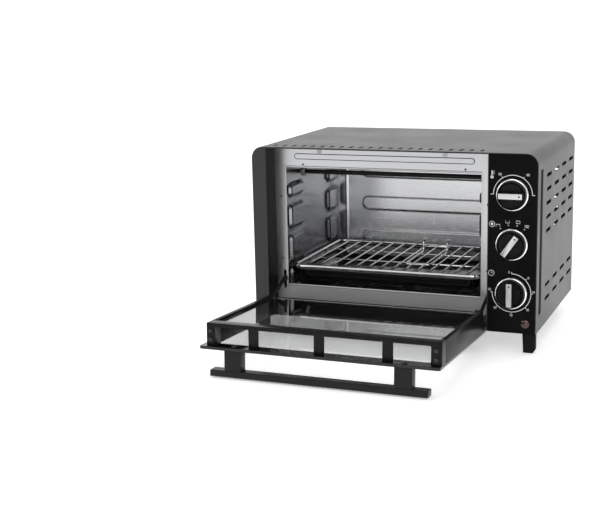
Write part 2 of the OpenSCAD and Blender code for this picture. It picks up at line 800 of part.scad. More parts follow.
module handle_bar() {
    z1 = panel_z1 - 0.6;
    color("#2f3133") door_open() translate([door_mid - bar_len / 2, 0, 0]) along_x(0, bar_len)
        round_rect([-post_len - bar_t, z1 - bar_w], [-post_len, z1], 1.2);
}

module handle_posts() {
    z1 = panel_z1 - 0.8;
    color("#3d3f41") door_open() for (s = [-1, 1]) difference() {
        translate([door_mid + s * post_pitch / 2 - post_w / 2, -post_len, z1 - bar_w + 0.6])
            cube([post_w, post_len, bar_w - 1]);
        translate([door_mid + s * post_pitch / 2, 0, panel_z1 - bar_w / 2]) rod_y(-11, 1, 1.7);
    }
}

// Fixed ears on the casing that carry the hinge pins
module hinge_ears() {
    color("#8b8e91") for (x = [arm_x[0] - 6.9, arm_x[1] - 6.9]) difference() {
        union() {
            along_x(x, x + 2) {
                translate([hinge_y, hinge_z]) circle(boss_r);
                translate([hinge_y, hinge_z - boss_r]) square([recess_d - hinge_y, 2 * boss_r]);
                translate([20, bottom_z + sheet]) square([recess_d - 20, 14]);
            }
        }
        translate([0, hinge_y, hinge_z]) rod_x(x - 1, x + 3, pin_r + 0.05);
    }
}

// Flat link from the door to its spring, drawn where it rests
module hinge_arm(x) {
    open_pin = [
        hinge_y + (arm_y - hinge_y) * cos(open_angle) - (arm_z - hinge_z) * sin(open_angle),
        hinge_z + (arm_y - hinge_y) * sin(open_angle) + (arm_z - hinge_z) * cos(open_angle)
    ];
    color("#1d1e1f") translate([0, open_pin[0], open_pin[1]]) rotate([arm_angle, 0, 0]) along_x(x - 1.2, x + 1.2)
        difference() {
            union() {
                circle(3);
                translate([0, -3]) square([arm_len, 6]);
                translate([arm_len, 0]) circle(3);
            }
            circle(arm_pin_r + 0.05);
            translate([arm_len, 0]) circle(1.4);
        }
}

module left_hinge_arm() { hinge_arm(arm_x[0]); }
module right_hinge_arm() { hinge_arm(arm_x[1]); }

// Radius of the coil at turn t of n: drawn in to a neck at both ends
function coil_r(t, n) = 1 + 1.6 * min(1, t, n - t);

// Tension spring along Y from y0 to y1
module tension_spring(x, y0, y1, z) {
    turns = 17;
    steps = 12;
    sides = 5;
    n = turns * steps;
    points = [for (i = [0:n], k = [0:sides - 1]) let (
        t = i / steps, a = 360 * t, b = 360 * k / sides, r = coil_r(t, turns) + 0.6 * cos(b)
    ) [r * cos(a), y0 + (y1 - y0) * t / turns + 0.6 * sin(b), r * sin(a)]];
    color("#b4b6b8") translate([x, 0, z]) polyhedron(points, concat(
        [[0, 1, 2], [0, 2, 3], [0, 3, 4]],
        [for (i = [0:n - 1], k = [0:sides - 1])
            [i * sides + k, (i + 1) * sides + k, (i + 1) * sides + (k + 1) % sides]],
        [for (i = [0:n - 1], k = [0:sides - 1])
            [i * sides + k, (i + 1) * sides + (k + 1) % sides, i * sides + (k + 1) % sides]],
        [for (k = [1:3]) [n * sides, n * sides + k + 1, n * sides + k]]
    ));
}

module left_door_spring() { tension_spring(arm_x[0], 50, 195, 76.4); }
module right_door_spring() { tension_spring(arm_x[1], 50, 195, 76.4); }

// ---------- accessories ----------

// A flat ring of round wire with rounded corners
module wire_frame(x0, x1, y0, y1, r, w) {
    for (y = [y0, y1]) translate([0, y, 0]) rod_x(x0 + r, x1 - r, w);
    for (x = [x0, x1]) translate([x, 0, 0]) rod_y(y0 + r, y1 - r, w);
    for (c = [[x0 + r, y0 + r, 180], [x1 - r, y0 + r, 270], [x1 - r, y1 - r, 0], [x0 + r, y1 - r, 90]])
        translate([c[0], c[1], 0]) rotate(c[2]) rotate_extrude(angle = 90) translate([r, 0]) circle(w, $fn = 24);
}

module wire_rack() {
    x0 = door_mid - rack_w / 2 + wire_r;
    x1 = door_mid + rack_w / 2 - wire_r;
    y0 = rack_y0 + wire_r;
    y1 = rack_y0 + rack_d - wire_r;
    step = (x1 - x0) / (rack_wires + 1);
    color("#d5d7d9") translate([0, 0, rack_z]) {
        wire_frame(x0, x1, y0, y1, 12, wire_r);
        for (i = [1:rack_wires]) translate([x0 + i * step, 0, cross_r - 0.4]) rod_y(y0 - 1, y1 + 1, cross_r);
        for (y = [y0 + (y1 - y0) / 3, y0 + (y1 - y0) * 2 / 3]) translate([0, y, -1.2]) rod_x(x0 + 1, x1 - 1, 1.3);
    }
}

// Black enamelled pan that hangs by its rim
module baking_tray() {
    x0 = door_mid - rack_w / 2;
    x1 = door_mid + rack_w / 2;
    y1 = rack_y0 + rack_d;
    color("#131415") difference() {
        union() {
            translate([0, 0, tray_rim_z]) linear_extrude(tray_rim_t) round_rect([x0, rack_y0], [x1, y1], 12);
            translate([0, 0, tray_rim_z - 4]) linear_extrude(4 + eps)
                round_rect([x0 + 5, rack_y0 + 4], [x1 - 5, y1 - 4], 11);
            translate([0, 0, tray_rim_z - tray_h]) linear_extrude(tray_h)
                round_rect([x0 + 9, rack_y0 + 9], [x1 - 9, y1 - 9], 14);
        }
        translate([0, 0, tray_rim_z - 3]) linear_extrude(6) round_rect([x0 + 6, rack_y0 + 5], [x1 - 6, y1 - 5], 10);
        translate([0, 0, tray_rim_z - tray_h + 1]) linear_extrude(tray_h)
            round_rect([x0 + 10, rack_y0 + 10], [x1 - 10, y1 - 10], 13);
    }
}

// Wire lifting handle: a long U grip with two bent hooks, lying on the rack
module tray_handle() {
    w = 1.5;
    x0 = -2;
    x1 = 34;
    color("#dcdee0") translate([0, grip_y0, grip_z]) {
        for (x = [x0, x1]) translate([x, 0, 0]) rod_y(8, 92, w);
        translate([0, 0, 0]) rod_x(x0 + 8, x1 - 8, w);
        for (c = [[x0 + 8, 8, 180], [x1 - 8, 8, 270]]) translate([c[0], c[1], 0]) rotate(c[2])
            rotate_extrude(angle = 90) translate([8, 0]) circle(w, $fn = 24);
        for (x = [x0, x1]) translate([x, 92, 0]) {
            sphere(w, $fn = 24);
            cylinder(h = 16, r = w, $fn = 24);
            translate([0, 0, 16]) sphere(w, $fn = 24);
            translate([0, 0, 16]) rod_y(0, 14, w);
        }
        translate([0, 92, 8]) rod_x(x0, x1, w);
    }
}

module place() {
    translate([0, -mid_y, 0]) children();
}

place() outer_cover();
place() front_surround();
place() base_plate();
place() back_panel();
place() cord_inlet();
place() feet();
place() wall_spacers();
place() cavity_front();
place() cavity_left_wall();
place() cavity_right_wall();
place() cavity_rear_wall();
place() cavity_roof();
place() cavity_floor();
place() door_bumpers();
place() upper_heaters();
place() lower_heaters();
place() heater_insulators();
place() heater_jumpers();
place() control_panel();
place() control_bracket();
place() thermostat();
place() function_switch();
place() timer_movement();
place() timer_bell();
place() lamp_lens();
place() lamp_holder();
place() terminal_block();
place() wiring();
place() hinge_ears();
place() cover_screws();
place() left_door_spring();
place() right_door_spring();
place() temperature_knob();
place() temperature_knob_ring();
place() temperature_knob_insert();
place() temperature_shaft();
place() function_knob();
place() function_knob_ring();
place() function_knob_insert();
place() function_shaft();
place() timer_knob();
place() timer_knob_ring();
place() timer_knob_insert();
place() timer_shaft();
place() door_outer_panel();
place() door_left_rail();
place() door_right_rail();
place() door_hinge_rail();
place() door_end_rail();
place() door_inner_glass();
place() door_hinge_pins();
place() door_screws();
place() handle_bar();
place() handle_posts();
place() left_hinge_arm();
place() right_hinge_arm();
place() wire_rack();
place() baking_tray();
place() tray_handle();
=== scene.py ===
import json
import math
import bpy
import bmesh
import numpy as np
from mathutils import Matrix, Vector


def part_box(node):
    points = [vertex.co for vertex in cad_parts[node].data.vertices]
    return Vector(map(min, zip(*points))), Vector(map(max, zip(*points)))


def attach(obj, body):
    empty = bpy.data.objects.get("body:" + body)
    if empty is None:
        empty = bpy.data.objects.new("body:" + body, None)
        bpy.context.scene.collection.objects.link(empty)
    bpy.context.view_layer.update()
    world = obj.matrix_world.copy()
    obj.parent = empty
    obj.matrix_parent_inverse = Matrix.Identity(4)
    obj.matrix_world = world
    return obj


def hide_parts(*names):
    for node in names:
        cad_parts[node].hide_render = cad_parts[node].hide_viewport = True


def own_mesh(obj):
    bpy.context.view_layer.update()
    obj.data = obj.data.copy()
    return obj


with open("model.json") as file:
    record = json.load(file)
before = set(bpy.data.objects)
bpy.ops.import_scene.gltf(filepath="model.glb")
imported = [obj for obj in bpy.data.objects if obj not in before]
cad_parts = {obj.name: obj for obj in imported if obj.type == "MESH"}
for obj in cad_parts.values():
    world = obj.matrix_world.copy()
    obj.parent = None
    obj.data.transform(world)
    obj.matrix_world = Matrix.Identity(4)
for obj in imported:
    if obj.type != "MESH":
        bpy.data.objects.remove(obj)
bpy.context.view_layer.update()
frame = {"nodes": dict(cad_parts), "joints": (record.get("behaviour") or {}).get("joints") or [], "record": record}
N = frame["nodes"]
BODY = {n: b for b, ns in frame["record"]["behaviour"]["bodies"].items() for n in ns}
SLOT = {s["node"]: s["material_slot"] for s in frame["record"]["subparts"]}
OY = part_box("control_panel")[0].y  # the casing's front plane
TAU = 2 * math.pi


def P(x, y, z):
    """A point in the oven's own millimetres, as metres in the row frame."""
    return Vector((x / 1000, OY + y / 1000, z / 1000))


# ---------------------------------------------------------------- materials


class Tree:
    """A material's node tree with short helpers."""

    def __init__(self, name):
        self.mat = bpy.data.materials.new(name)
        self.mat.use_nodes = True
        self.nt = self.mat.node_tree
        self.bsdf = self.nt.nodes["Principled BSDF"]
        self.coords = self.new("ShaderNodeTexCoord").outputs["Object"]

    def new(self, kind, **values):
        node = self.nt.nodes.new(kind)
        for key, value in values.items():
            setattr(node, key, value)
        return node

    def link(self, a, b):
        self.nt.links.new(a, b)

    def noise(self, scale, detail=3.0, stretch=(1, 1, 1), distortion=0.0, rough=0.5):
        m = self.new("ShaderNodeMapping")
        m.inputs["Scale"].default_value = stretch
        self.link(self.coords, m.inputs["Vector"])
        n = self.new("ShaderNodeTexNoise")
        n.inputs["Scale"].default_value = scale
        n.inputs["Detail"].default_value = detail
        n.inputs["Roughness"].default_value = rough
        n.inputs["Distortion"].default_value = distortion
        self.link(m.outputs["Vector"], n.inputs["Vector"])
        return n.outputs["Fac"]

    def cells(self, scale, stretch=(1, 1, 1), out="Color"):
        m = self.new("ShaderNodeMapping")
        m.inputs["Scale"].default_value = stretch
        self.link(self.coords, m.inputs["Vector"])
        v = self.new("ShaderNodeTexVoronoi")
        v.inputs["Scale"].default_value = scale
        self.link(m.outputs["Vector"], v.inputs["Vector"])
        return v.outputs[out]

    def ranged(self, fac, lo, hi, out_lo, out_hi):
        r = self.new("ShaderNodeMapRange")
        r.inputs["From Min"].default_value = lo
        r.inputs["From Max"].default_value = hi
        r.inputs["To Min"].default_value = out_lo
        r.inputs["To Max"].default_value = out_hi
        self.link(fac, r.inputs["Value"])
        return r.outputs["Result"]

    def ramp(self, fac, stops):
        r = self.new("ShaderNodeValToRGB")
        els = r.color_ramp.elements
        while len(els) < len(stops):
            els.new(0.5)
        for e, (pos, col) in zip(els, stops):
            e.position = pos
            e.color = (*col, 1)
        self.link(fac, r.inputs["Fac"])
        return r.outputs["Color"]

    def mix(self, fac, a, b, blend="MIX"):
        m = self.new("ShaderNodeMix", data_type="RGBA", blend_type=blend)
        for socket, value in ((m.inputs[0], fac), (m.inputs[6], a), (m.inputs[7], b)):
            if hasattr(value, "is_linked"):
                self.link(value, socket)
            elif isinstance(value, (int, float)):
                socket.default_value = value
            else:
                socket.default_value = (*value, 1)
        return m.outputs[2]

    def math(self, op, a, b=0.0):
        m = self.new("ShaderNodeMath", operation=op)
        for socket, value in ((m.inputs[0], a), (m.inputs[1], b)):
            if hasattr(value, "is_linked"):
                self.link(value, socket)
            else:
                socket.default_value = value
        return m.outputs[0]

    def edges(self, radius):
        """0 on flat faces, 1 along edges, and the rounded normal."""
        bevel = self.new("ShaderNodeBevel", samples=6)
        bevel.inputs["Radius"].default_value = radius
        geo = self.new("ShaderNodeNewGeometry")
        dot = self.new("ShaderNodeVectorMath", operation="DOT_PRODUCT")
        self.link(bevel.outputs["Normal"], dot.inputs[0])
        self.link(geo.outputs["Normal"], dot.inputs[1])
        return self.ranged(dot.outputs["Value"], 0.99, 0.85, 0.0, 1.0), bevel.outputs["Normal"]

    def bump(self, height, strength, distance, normal=None):
        b = self.new("ShaderNodeBump")
        b.inputs["Strength"].default_value = strength
        b.inputs["Distance"].default_value = distance
        self.link(height, b.inputs["Height"])
        if normal is not None:
            self.link(normal, b.inputs["Normal"])
        return b.outputs["Normal"]

    def set(self, **values):
        for key, value in values.items():
            socket = self.bsdf.inputs[key.replace("_", " ")]
            if hasattr(value, "is_linked"):
                self.link(value, socket)
            elif isinstance(value, (tuple, list)):
                socket.default_value = (*value, 1) if len(value) == 3 else value
            else:
                socket.default_value = value


def painted(name, col, rough=0.42, grain=900, depth=0.00004, speck=0.12, edge=0.25, bevel=0.0004, spec=0.2):
    """Sprayed or powder-coated sheet: fine orange peel, faint mottling, edges worn a little lighter."""
    t = Tree(name)
    big = t.noise(14, 4)
    fine = t.noise(grain, 2)
    lo = tuple(c * (1 - speck) for c in col)
    hi = tuple(min(1, c * (1 + speck)) for c in col)
    base = t.ramp(big, [(0.3, lo), (0.7, hi)])
    base = t.mix(t.ranged(fine, 0.35, 0.75, 0.0, 0.22), base, tuple(min(1, c * 1.9) for c in col))
    worn, normal = t.edges(bevel)
    scuffs = t.ranged(t.noise(220, 4), 0.48, 0.62, 0.0, edge)
    base = t.mix(t.math("MULTIPLY", worn, scuffs), base, tuple(min(1, c * 2.4 + 0.05) for c in col))
    t.set(Base_Color=base)
    t.set(Roughness=t.ranged(t.math("ADD", t.math("MULTIPLY", fine, 0.5), t.math("MULTIPLY", big, 0.5)),
                             0.3, 0.7, rough - 0.06, rough + 0.07))
    t.set(Normal=t.bump(fine, 0.35, depth, normal), Specular_IOR_Level=spec)
    return t.mat


def metal(name, col, rough=0.28, brush=(1, 1, 1), scale=60, streak=0.14, spangle=0.0, bevel=0.0003, smut=0.0,
          depth=0.000012, wave=0.0, dull_below=None):
    """Bare or plated metal: brush lines along the axis with the smallest stretch, stains, rolled waviness.

    Below the height dull_below, in metres, the surface is less shiny.
    """
    t = Tree(name)
    lines = t.noise(scale, 2, brush, rough=0.5)
    cloud = t.noise(9, 5, distortion=0.6)
    dark = tuple(c * (1 - streak) for c in col)
    base = t.ramp(lines, [(0.3, dark), (0.7, col)])
    if spangle:
        cell = t.new("ShaderNodeRGBToBW")
        t.link(t.cells(140), cell.inputs[0])
        base = t.mix(t.ranged(cell.outputs[0], 0.2, 0.8, 0, spangle), base, tuple(c * 0.72 for c in col))
    if smut:
        stain = tuple(c * f for c, f in zip(col, (0.62, 0.58, 0.5)))
        base = t.mix(t.ranged(cloud, 0.45, 0.75, 0, smut), base, stain)
    worn, normal = t.edges(bevel)
    base = t.mix(t.math("MULTIPLY", worn, 0.35), base, tuple(min(1, c * 1.15 + 0.05) for c in col))
    t.set(Base_Color=base, Metallic=1.0)
    both = t.math("ADD", t.math("MULTIPLY", lines, 0.25), t.math("MULTIPLY", cloud, 0.75))
    shine = t.ranged(both, 0.3, 0.7, max(0.03, rough * 0.85), rough * 1.15)
    if dull_below is not None:
        height = t.new("ShaderNodeSeparateXYZ")
        t.link(t.coords, height.inputs[0])
        dull = t.ranged(height.outputs[2], dull_below - 0.003, dull_below + 0.003, 0.3, 0.0)
        shine = t.math("ADD", shine, dull)
    t.set(Roughness=shine)
    normal = t.bump(lines, 0.5, depth, normal)
    if wave:
        normal = t.bump(t.noise(7, 1), 0.5, wave, normal)
    t.set(Normal=normal)
    return t.mat


def plastic(name, col, rough=0.4, grain=500, depth=0.00002, coat=0.0, spec=0.5, bevel=0.0004, rub=0.3):
    """Moulded plastic: fine texture, slight shine where it is handled, softened edges."""
    t = Tree(name)
    fine = t.noise(grain, 3)
    big = t.noise(25, 3)
    base = t.ramp(big, [(0.35, tuple(c * 0.86 for c in col)), (0.65, tuple(min(1, c * 1.14) for c in col))])
    worn, normal = t.edges(bevel)
    base = t.mix(t.math("MULTIPLY", worn, rub * 0.5), base, tuple(min(1, c * 2 + 0.02) for c in col))
    t.set(Base_Color=base, Roughness=t.ranged(t.noise(70, 4), 0.3, 0.7, rough * 0.8, rough * 1.2))
    t.set(Normal=t.bump(fine, 0.3, depth, normal), Coat_Weight=coat, Coat_Roughness=0.06)
    t.set(Specular_IOR_Level=spec)
    return t.mat


def glass(name, tint, rough=0.0, smear=0.05):
    """Flat sheet glass with faint wipe marks; lamps reach what is behind it."""
    t = Tree(name)
    wipes = t.noise(26, 4, (1, 3, 1), distortion=1.2)
    t.set(Base_Color=t.ramp(wipes, [(0.3, tuple(c * 0.985 for c in tint)), (0.7, tint)]))
    t.set(Roughness=t.ranged(wipes, 0.45, 0.8, rough, rough + smear))
    t.set(Transmission_Weight=1.0, IOR=1.5)
    clear = t.new("ShaderNodeBsdfTransparent")
    clear.inputs["Color"].default_value = (*tint, 1)
    path = t.new("ShaderNodeLightPath")
    mixer = t.new("ShaderNodeMixShader")
    out = t.nt.nodes["Material Output"]
    t.link(path.outputs["Is Shadow Ray"], mixer.inputs[0])
    t.link(t.bsdf.outputs[0], mixer.inputs[1])
    t.link(clear.outputs[0], mixer.inputs[2])
    t.link(mixer.outputs[0], out.inputs["Surface"])
    return t.mat


M = {
    "charcoal_paint": painted("cover_paint", (0.028, 0.0283, 0.03), 0.33, 1500, 0.00004, 0.05, 0.2,
                              spec=0.15),
    "recess_paint": painted("recess_paint", (0.005, 0.005, 0.0055), 0.3, 1200, 0.00002, 0.1, 0.2, spec=0.1),
    "galvanised": metal("galvanised", (0.52, 0.53, 0.54), 0.36, (1, 1, 1), 40, 0.12, 0.35, smut=0.25),
    "black_plastic": plastic("foot_plastic", (0.005, 0.005, 0.0055), 0.45, 600, 0.00004, spec=0.1),
    "bright_steel": metal("front_steel", (0.54, 0.545, 0.555), 0.3, (1, 40, 40), 40, 0.05, depth=0.000003,
                          wave=0.0003, dull_below=0.064),
    "cavity_steel": metal("cavity_steel", (0.68, 0.685, 0.7), 0.26, (1, 40, 40), 40, 0.04, smut=0.04,
                          depth=0.0000006, wave=0.0003),
    # painted shade: the cavity's side walls take the rear wall's steel, darkened because they get less light
    "side_steel": metal("side_steel", (0.34, 0.345, 0.355), 0.22, (40, 1, 40), 40, 0.04, smut=0.04,
                        depth=0.000002),
    # painted shade: the cavity floor takes the rear wall's steel, darkened a little because it lies in shade; its
    # stains are real dirt
    "floor_steel": metal("floor_steel", (0.56, 0.565, 0.58), 0.32, (1, 40, 40), 40, 0.1, smut=0.15,
                         depth=0.000005),
    "clear_silicone": plastic("silicone", (0.5, 0.52, 0.53), 0.14, 300, 0.00001, coat=1.0),
    "heater_black": painted("heater_black", (0.006, 0.006, 0.0065), 0.4, 700, 0.00003, 0.3, 0.1, 0.0001),
    "ceramic": plastic("ceramic", (0.3, 0.28, 0.24), 0.42, 400, 0.00003, coat=0.1),
    "terminal_brass": metal("strap", (0.6, 0.55, 0.42), 0.36, (14, 1, 1), 50, 0.2, smut=0.4),
    "gloss_black": plastic("panel_gloss", (0.0035, 0.0035, 0.004), 0.34, 900, 0.000004, coat=0.0,
                           spec=0.05, bevel=0.0005),
    "bakelite": plastic("bakelite", (0.05, 0.035, 0.028), 0.35, 300, 0.00003),
    "chrome": metal("chrome", (0.93, 0.935, 0.94), 0.07, (1, 1, 1), 90, 0.04, smut=0.05, bevel=0.0002,
                    depth=0.000003),
    "lamp_red": plastic("lamp_red", (0.045, 0.003, 0.004), 0.18, 200, 0.00001, coat=0.5),
    "wire_cover": plastic("wire_cover", (0.3, 0.05, 0.03), 0.5, 400, 0.00002),
    "black_screw": painted("black_screw", (0.008, 0.008, 0.0085), 0.22, 900, 0.00001, 0.2, 0.7, 0.0003,
                           spec=0.5),
    "spring_steel": metal("spring_steel", (0.56, 0.57, 0.58), 0.24, (14, 1, 14), 60, 0.15, smut=0.15),
    "door_frame_paint": painted("door_paint", (0.005, 0.005, 0.0055), 0.3, 1500, 0.00002, 0.08, 0.3,
                                0.0006, spec=0.14),
    "handle_paint": painted("handle_paint", (0.014, 0.014, 0.0148), 0.36, 1600, 0.00002, 0.1, 0.35, 0.0007,
                            spec=0.12),
    "arm_black": painted("arm_black", (0.006, 0.006, 0.0065), 0.34, 800, 0.00002, 0.2, 0.4, 0.0003),
    "black_enamel": plastic("enamel", (0.006, 0.006, 0.0065), 0.12, 260, 0.00003, coat=0.9, bevel=0.0008),
    "knob_black": plastic("knob_black", (0.004, 0.004, 0.0045), 0.3, 700, 0.00001, spec=0.12, bevel=0.0006),
    "silver_insert": metal("knob_insert", (0.58, 0.585, 0.595), 0.28, (22, 22, 1), 60, 0.06,
                           depth=0.000008),
    "clear_glass": glass("inner_glass", (0.985, 0.99, 0.988), 0.0, 0.012),
    "tinted_glass": glass("outer_glass", (0.94, 0.945, 0.945), 0.0, 0.012),
}

# ---------------------------------------------------------------- mesh helpers


def piece(name, mesh, body, slot, material=None, replaces=(), smooth=None):
    o = bpy.data.objects.new(name, mesh)
    bpy.context.scene.collection.objects.link(o)
    mesh.materials.clear()
    mesh.materials.append(material or M[slot])
    if smooth is not None:
        for p in mesh.polygons:
            p.use_smooth = True
        mesh.set_sharp_from_angle(angle=math.radians(smooth))
    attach(o, body)
    if replaces:
        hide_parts(*replaces)
    return o


def soften(node, width, segments=2, angle=28, material=None, smooth=32):
    """A copy of a CAD node with real rounded edges, standing for that node."""
    src = N[node].data
    me = src.copy()
    bm = bmesh.new()
    bm.from_mesh(me)
    bmesh.ops.remove_doubles(bm, verts=bm.verts, dist=2e-6)
    bmesh.ops.dissolve_limit(bm, angle_limit=math.radians(0.6), verts=bm.verts, edges=bm.edges)
    bm.to_mesh(me)
    bm.free()
    tmp = bpy.data.objects.new("tmp", me)
    bpy.context.scene.collection.objects.link(tmp)
    b = tmp.modifiers.new("b", "BEVEL")
    b.width, b.segments, b.limit_method, b.angle_limit = width, segments, "ANGLE", math.radians(angle)
    b.use_clamp_overlap = True
    b.harden_normals = False
    dg = bpy.context.evaluated_depsgraph_get()
    out = bpy.data.meshes.new_from_object(tmp.evaluated_get(dg))
    bpy.data.objects.remove(tmp)
    return piece(node + ".soft", out, BODY[node], SLOT[node], material, (node,), smooth)


def sheet_grid(name, nu, nv, at):
    """A smooth skin: at(u, v) gives the point for u and v from 0 to 1."""
    verts = [at(i / nu, j / nv) for j in range(nv + 1) for i in range(nu + 1)]
    faces = [(j * (nu + 1) + i, j * (nu + 1) + i + 1, (j + 1) * (nu + 1) + i + 1, (j + 1) * (nu + 1) + i)
             for j in range(nv) for i in range(nu)]
    me = bpy.data.meshes.new(name)
    me.from_pydata([tuple(v) for v in verts], [], faces)
    return me


def smoothstep(a, b, x):
    t = min(1.0, max(0.0, (x - a) / (b - a)))
    return t * t * (3 - 2 * t)


def round_box(x, y, x0, x1, y0, y1, r):
    """Signed distance, in millimetres, from a rounded rectangle's edge: negative inside."""
    dx = abs(x - (x0 + x1) / 2) - (x1 - x0) / 2 + r
    dy = abs(y - (y0 + y1) / 2) - (y1 - y0) / 2 + r
    return math.hypot(max(dx, 0), max(dy, 0)) + min(max(dx, dy), 0) - r


# ---------------------------------------------------------------- carried-over CAD nodes

for node, obj in N.items():
    for i in range(max(1, len(obj.material_slots))):
        if not obj.material_slots:
            obj.data.materials.append(M[SLOT[node]])
        obj.material_slots[i].link = "OBJECT"
        obj.material_slots[i].material = M[SLOT[node]]

SOFT = {
    "handle_bar": 0.0009, "handle_posts": 0.0007, "door_left_rail": 0.0005, "door_right_rail": 0.0005,
    "door_end_rail": 0.0005, "door_hinge_rail": 0.0005, "feet": 0.0009, "control_panel": 0.0005,
}
for node, width in SOFT.items():
    soften(node, width)


def recess_finish():
    """The front lip takes the casing's grey; the walls behind it are black."""
    t = Tree("recess_finish")
    depth = t.new("ShaderNodeSeparateXYZ")
    t.link(t.coords, depth.inputs[0])
    behind = t.ranged(depth.outputs[1], OY + 0.001, OY + 0.0014, 0, 1)
    fine = t.noise(1500, 2)
    grey = t.ramp(fine, [(0.3, (0.022, 0.0224, 0.0236)), (0.7, (0.029, 0.0294, 0.031))])
    black = t.ramp(fine, [(0.3, (0.002, 0.002, 0.0022)), (0.7, (0.003, 0.003, 0.0033))])
    normal = t.edges(0.0004)[1]
    t.set(Base_Color=t.mix(behind, grey, black), Roughness=t.ranged(fine, 0.3, 0.7, 0.34, 0.42))
    t.set(Normal=t.bump(fine, 0.35, 0.00003, normal), Specular_IOR_Level=t.ranged(behind, 0, 1, 0.3, 0.06))
    return t.mat


N["front_surround"].material_slots[0].material = recess_finish()

# ---------------------------------------------------------------- pressed sheets of the cavity


def pressed(name, nu, nv, at, back, body, slot, node, material=None):
    """A pressed sheet: the skin at(u, v), a second skin offset by back, and the rim between them."""
    me = sheet_grid(name, nu, nv, at)
    count = len(me.vertices)
    co = [v.co.copy() for v in me.vertices]
    faces = [tuple(f.vertices) for f in me.polygons]
    rim = [i for i in range(nu)] + [nu + j * (nu + 1) for j in range(nv)]
    rim += [(nv + 1) * (nu + 1) - 1 - i for i in range(nu)] + [(nv - j) * (nu + 1) for j in range(nv)]
    both = [tuple(v) for v in co] + [tuple(v + back) for v in co]
    faces += [tuple(i + count for i in reversed(f)) for f in faces]
    faces += [(rim[k], rim[k] + count, rim[(k + 1) % len(rim)] + count, rim[(k + 1) % len(rim)])
              for k in range(len(rim))]
    out = bpy.data.meshes.new(name)
    out.from_pydata(both, [], faces)
    bm = bmesh.new()
    bm.from_mesh(out)
    bmesh.ops.recalc_face_normals(bm, faces=bm.faces)
    bm.to_mesh(out)
    bm.free()
    return piece(name, out, body, slot, material, (node,), 50)


def mm(node):
    """A node's box in the oven's own millimetres."""
    a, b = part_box(node)
    return (a.x * 1000, (a.y - OY) * 1000, a.z * 1000), (b.x * 1000, (b.y - OY) * 1000, b.z * 1000)


FLOOR_LO, FLOOR_HI = mm("cavity_floor")
MX0, MX1 = FLOOR_LO[0] + 0.8, FLOOR_HI[0] - 0.8
CY0, CY1 = FLOOR_LO[1], FLOOR_HI[1] - 0.8
CZ0, CZ1 = FLOOR_LO[2] + 0.8, mm("cavity_roof")[0][2] + 1.2
PADS = [(y, z) for y in ((40, 92), (190, 238)) for z in ((58, 84), (95, 133), (143, 176), (188, 206))]


def side_wall(name, node, x, sign):
    def at(u, v):
        y, z = CY0 + (CY1 - CY0) * u, CZ0 + (CZ1 - CZ0) * v
        h = max(4.9 * smoothstep(1.8, -3.4, round_box(y, z, a[0], a[1], b[0], b[1], 6)) for a, b in PADS)
        return P(x + sign * h, y, z)
    back = Vector((-sign * 0.0008, 0, 0))
    # the side walls use the darkened copy of the cavity steel: painted shade
    pressed(name, 150, 146, at, back, "casing", "cavity_steel", node, M["side_steel"])


side_wall("left_wall_pressing", "cavity_left_wall", MX0, 1)
side_wall("right_wall_pressing", "cavity_right_wall", MX1, -1)


def rear_wall():
    mid = (MX0 + MX1) / 2

    def at(u, v):
        x, z = MX0 + (MX1 - MX0) * u, CZ0 + (CZ1 - CZ0) * v
        rim = abs(round_box(x, z, MX0 + 11, MX1 - 11, 54, 226, 10) + 2)
        h = 1.5 * smoothstep(2.3, 0.5, rim)
        for zc in (199.5, 148.5, 97):
            h += 1.5 * smoothstep(0.9, -0.9, round_box(x, z, mid - 101, mid + 101, zc - 10, zc + 10, 10))
        return P(x, CY1 - h, z)
    pressed("rear_wall_pressing", 230, 170, at, Vector((0, 0.0008, 0)), "casing", "cavity_steel",
            "cavity_rear_wall")


rear_wall()

# ---------------------------------------------------------------- pressed louvres, the rib's painted shade line and dimples


SLOT_Y = (73, 128, 182, 236)
SLOT_Z = (60.5, 79.5, 153.5, 172.2, 190.9, 209.6, 228.3)
SLOT_HALF_LENGTH = 16
RECESS_DEPTH = 33.5


def louvres(name, side):
    """The tongue pressed in ahead of each side slot: level with the skin in front, sunk at the opening."""
    skin = mm("outer_cover")[1][0]
    half, length = 2.4, 12.5
    bm = bmesh.new()
    for yc in SLOT_Y:
        for zc in SLOT_Z:
            rows = []
            for i in range(11):
                along = length * i / 10
                wide = half if along > half else math.sqrt(max(0.01, half ** 2 - (half - along) ** 2))
                sunk = 0.12 + 2.6 * smoothstep(0, length, along)
                row = []
                for v in range(5):
                    across = 2 * v / 4 - 1
                    x = side * (skin - sunk * (1 - 0.25 * across ** 2))
                    row.append(bm.verts.new(P(x, yc - SLOT_HALF_LENGTH + along, zc + wide * across)))
                rows.append(row)
            for a, b in zip(rows, rows[1:]):
                for v in range(4):
                    bm.faces.new((a[v], a[v + 1], b[v + 1], b[v]))
    bmesh.ops.recalc_face_normals(bm, faces=bm.faces)
    me = bpy.data.meshes.new(name)
    bm.to_mesh(me)
    bm.free()
    piece(name, me, "casing", "charcoal_paint", None, (), 60)


louvres("left_louvre_tongues", -1)
louvres("right_louvre_tongues", 1)


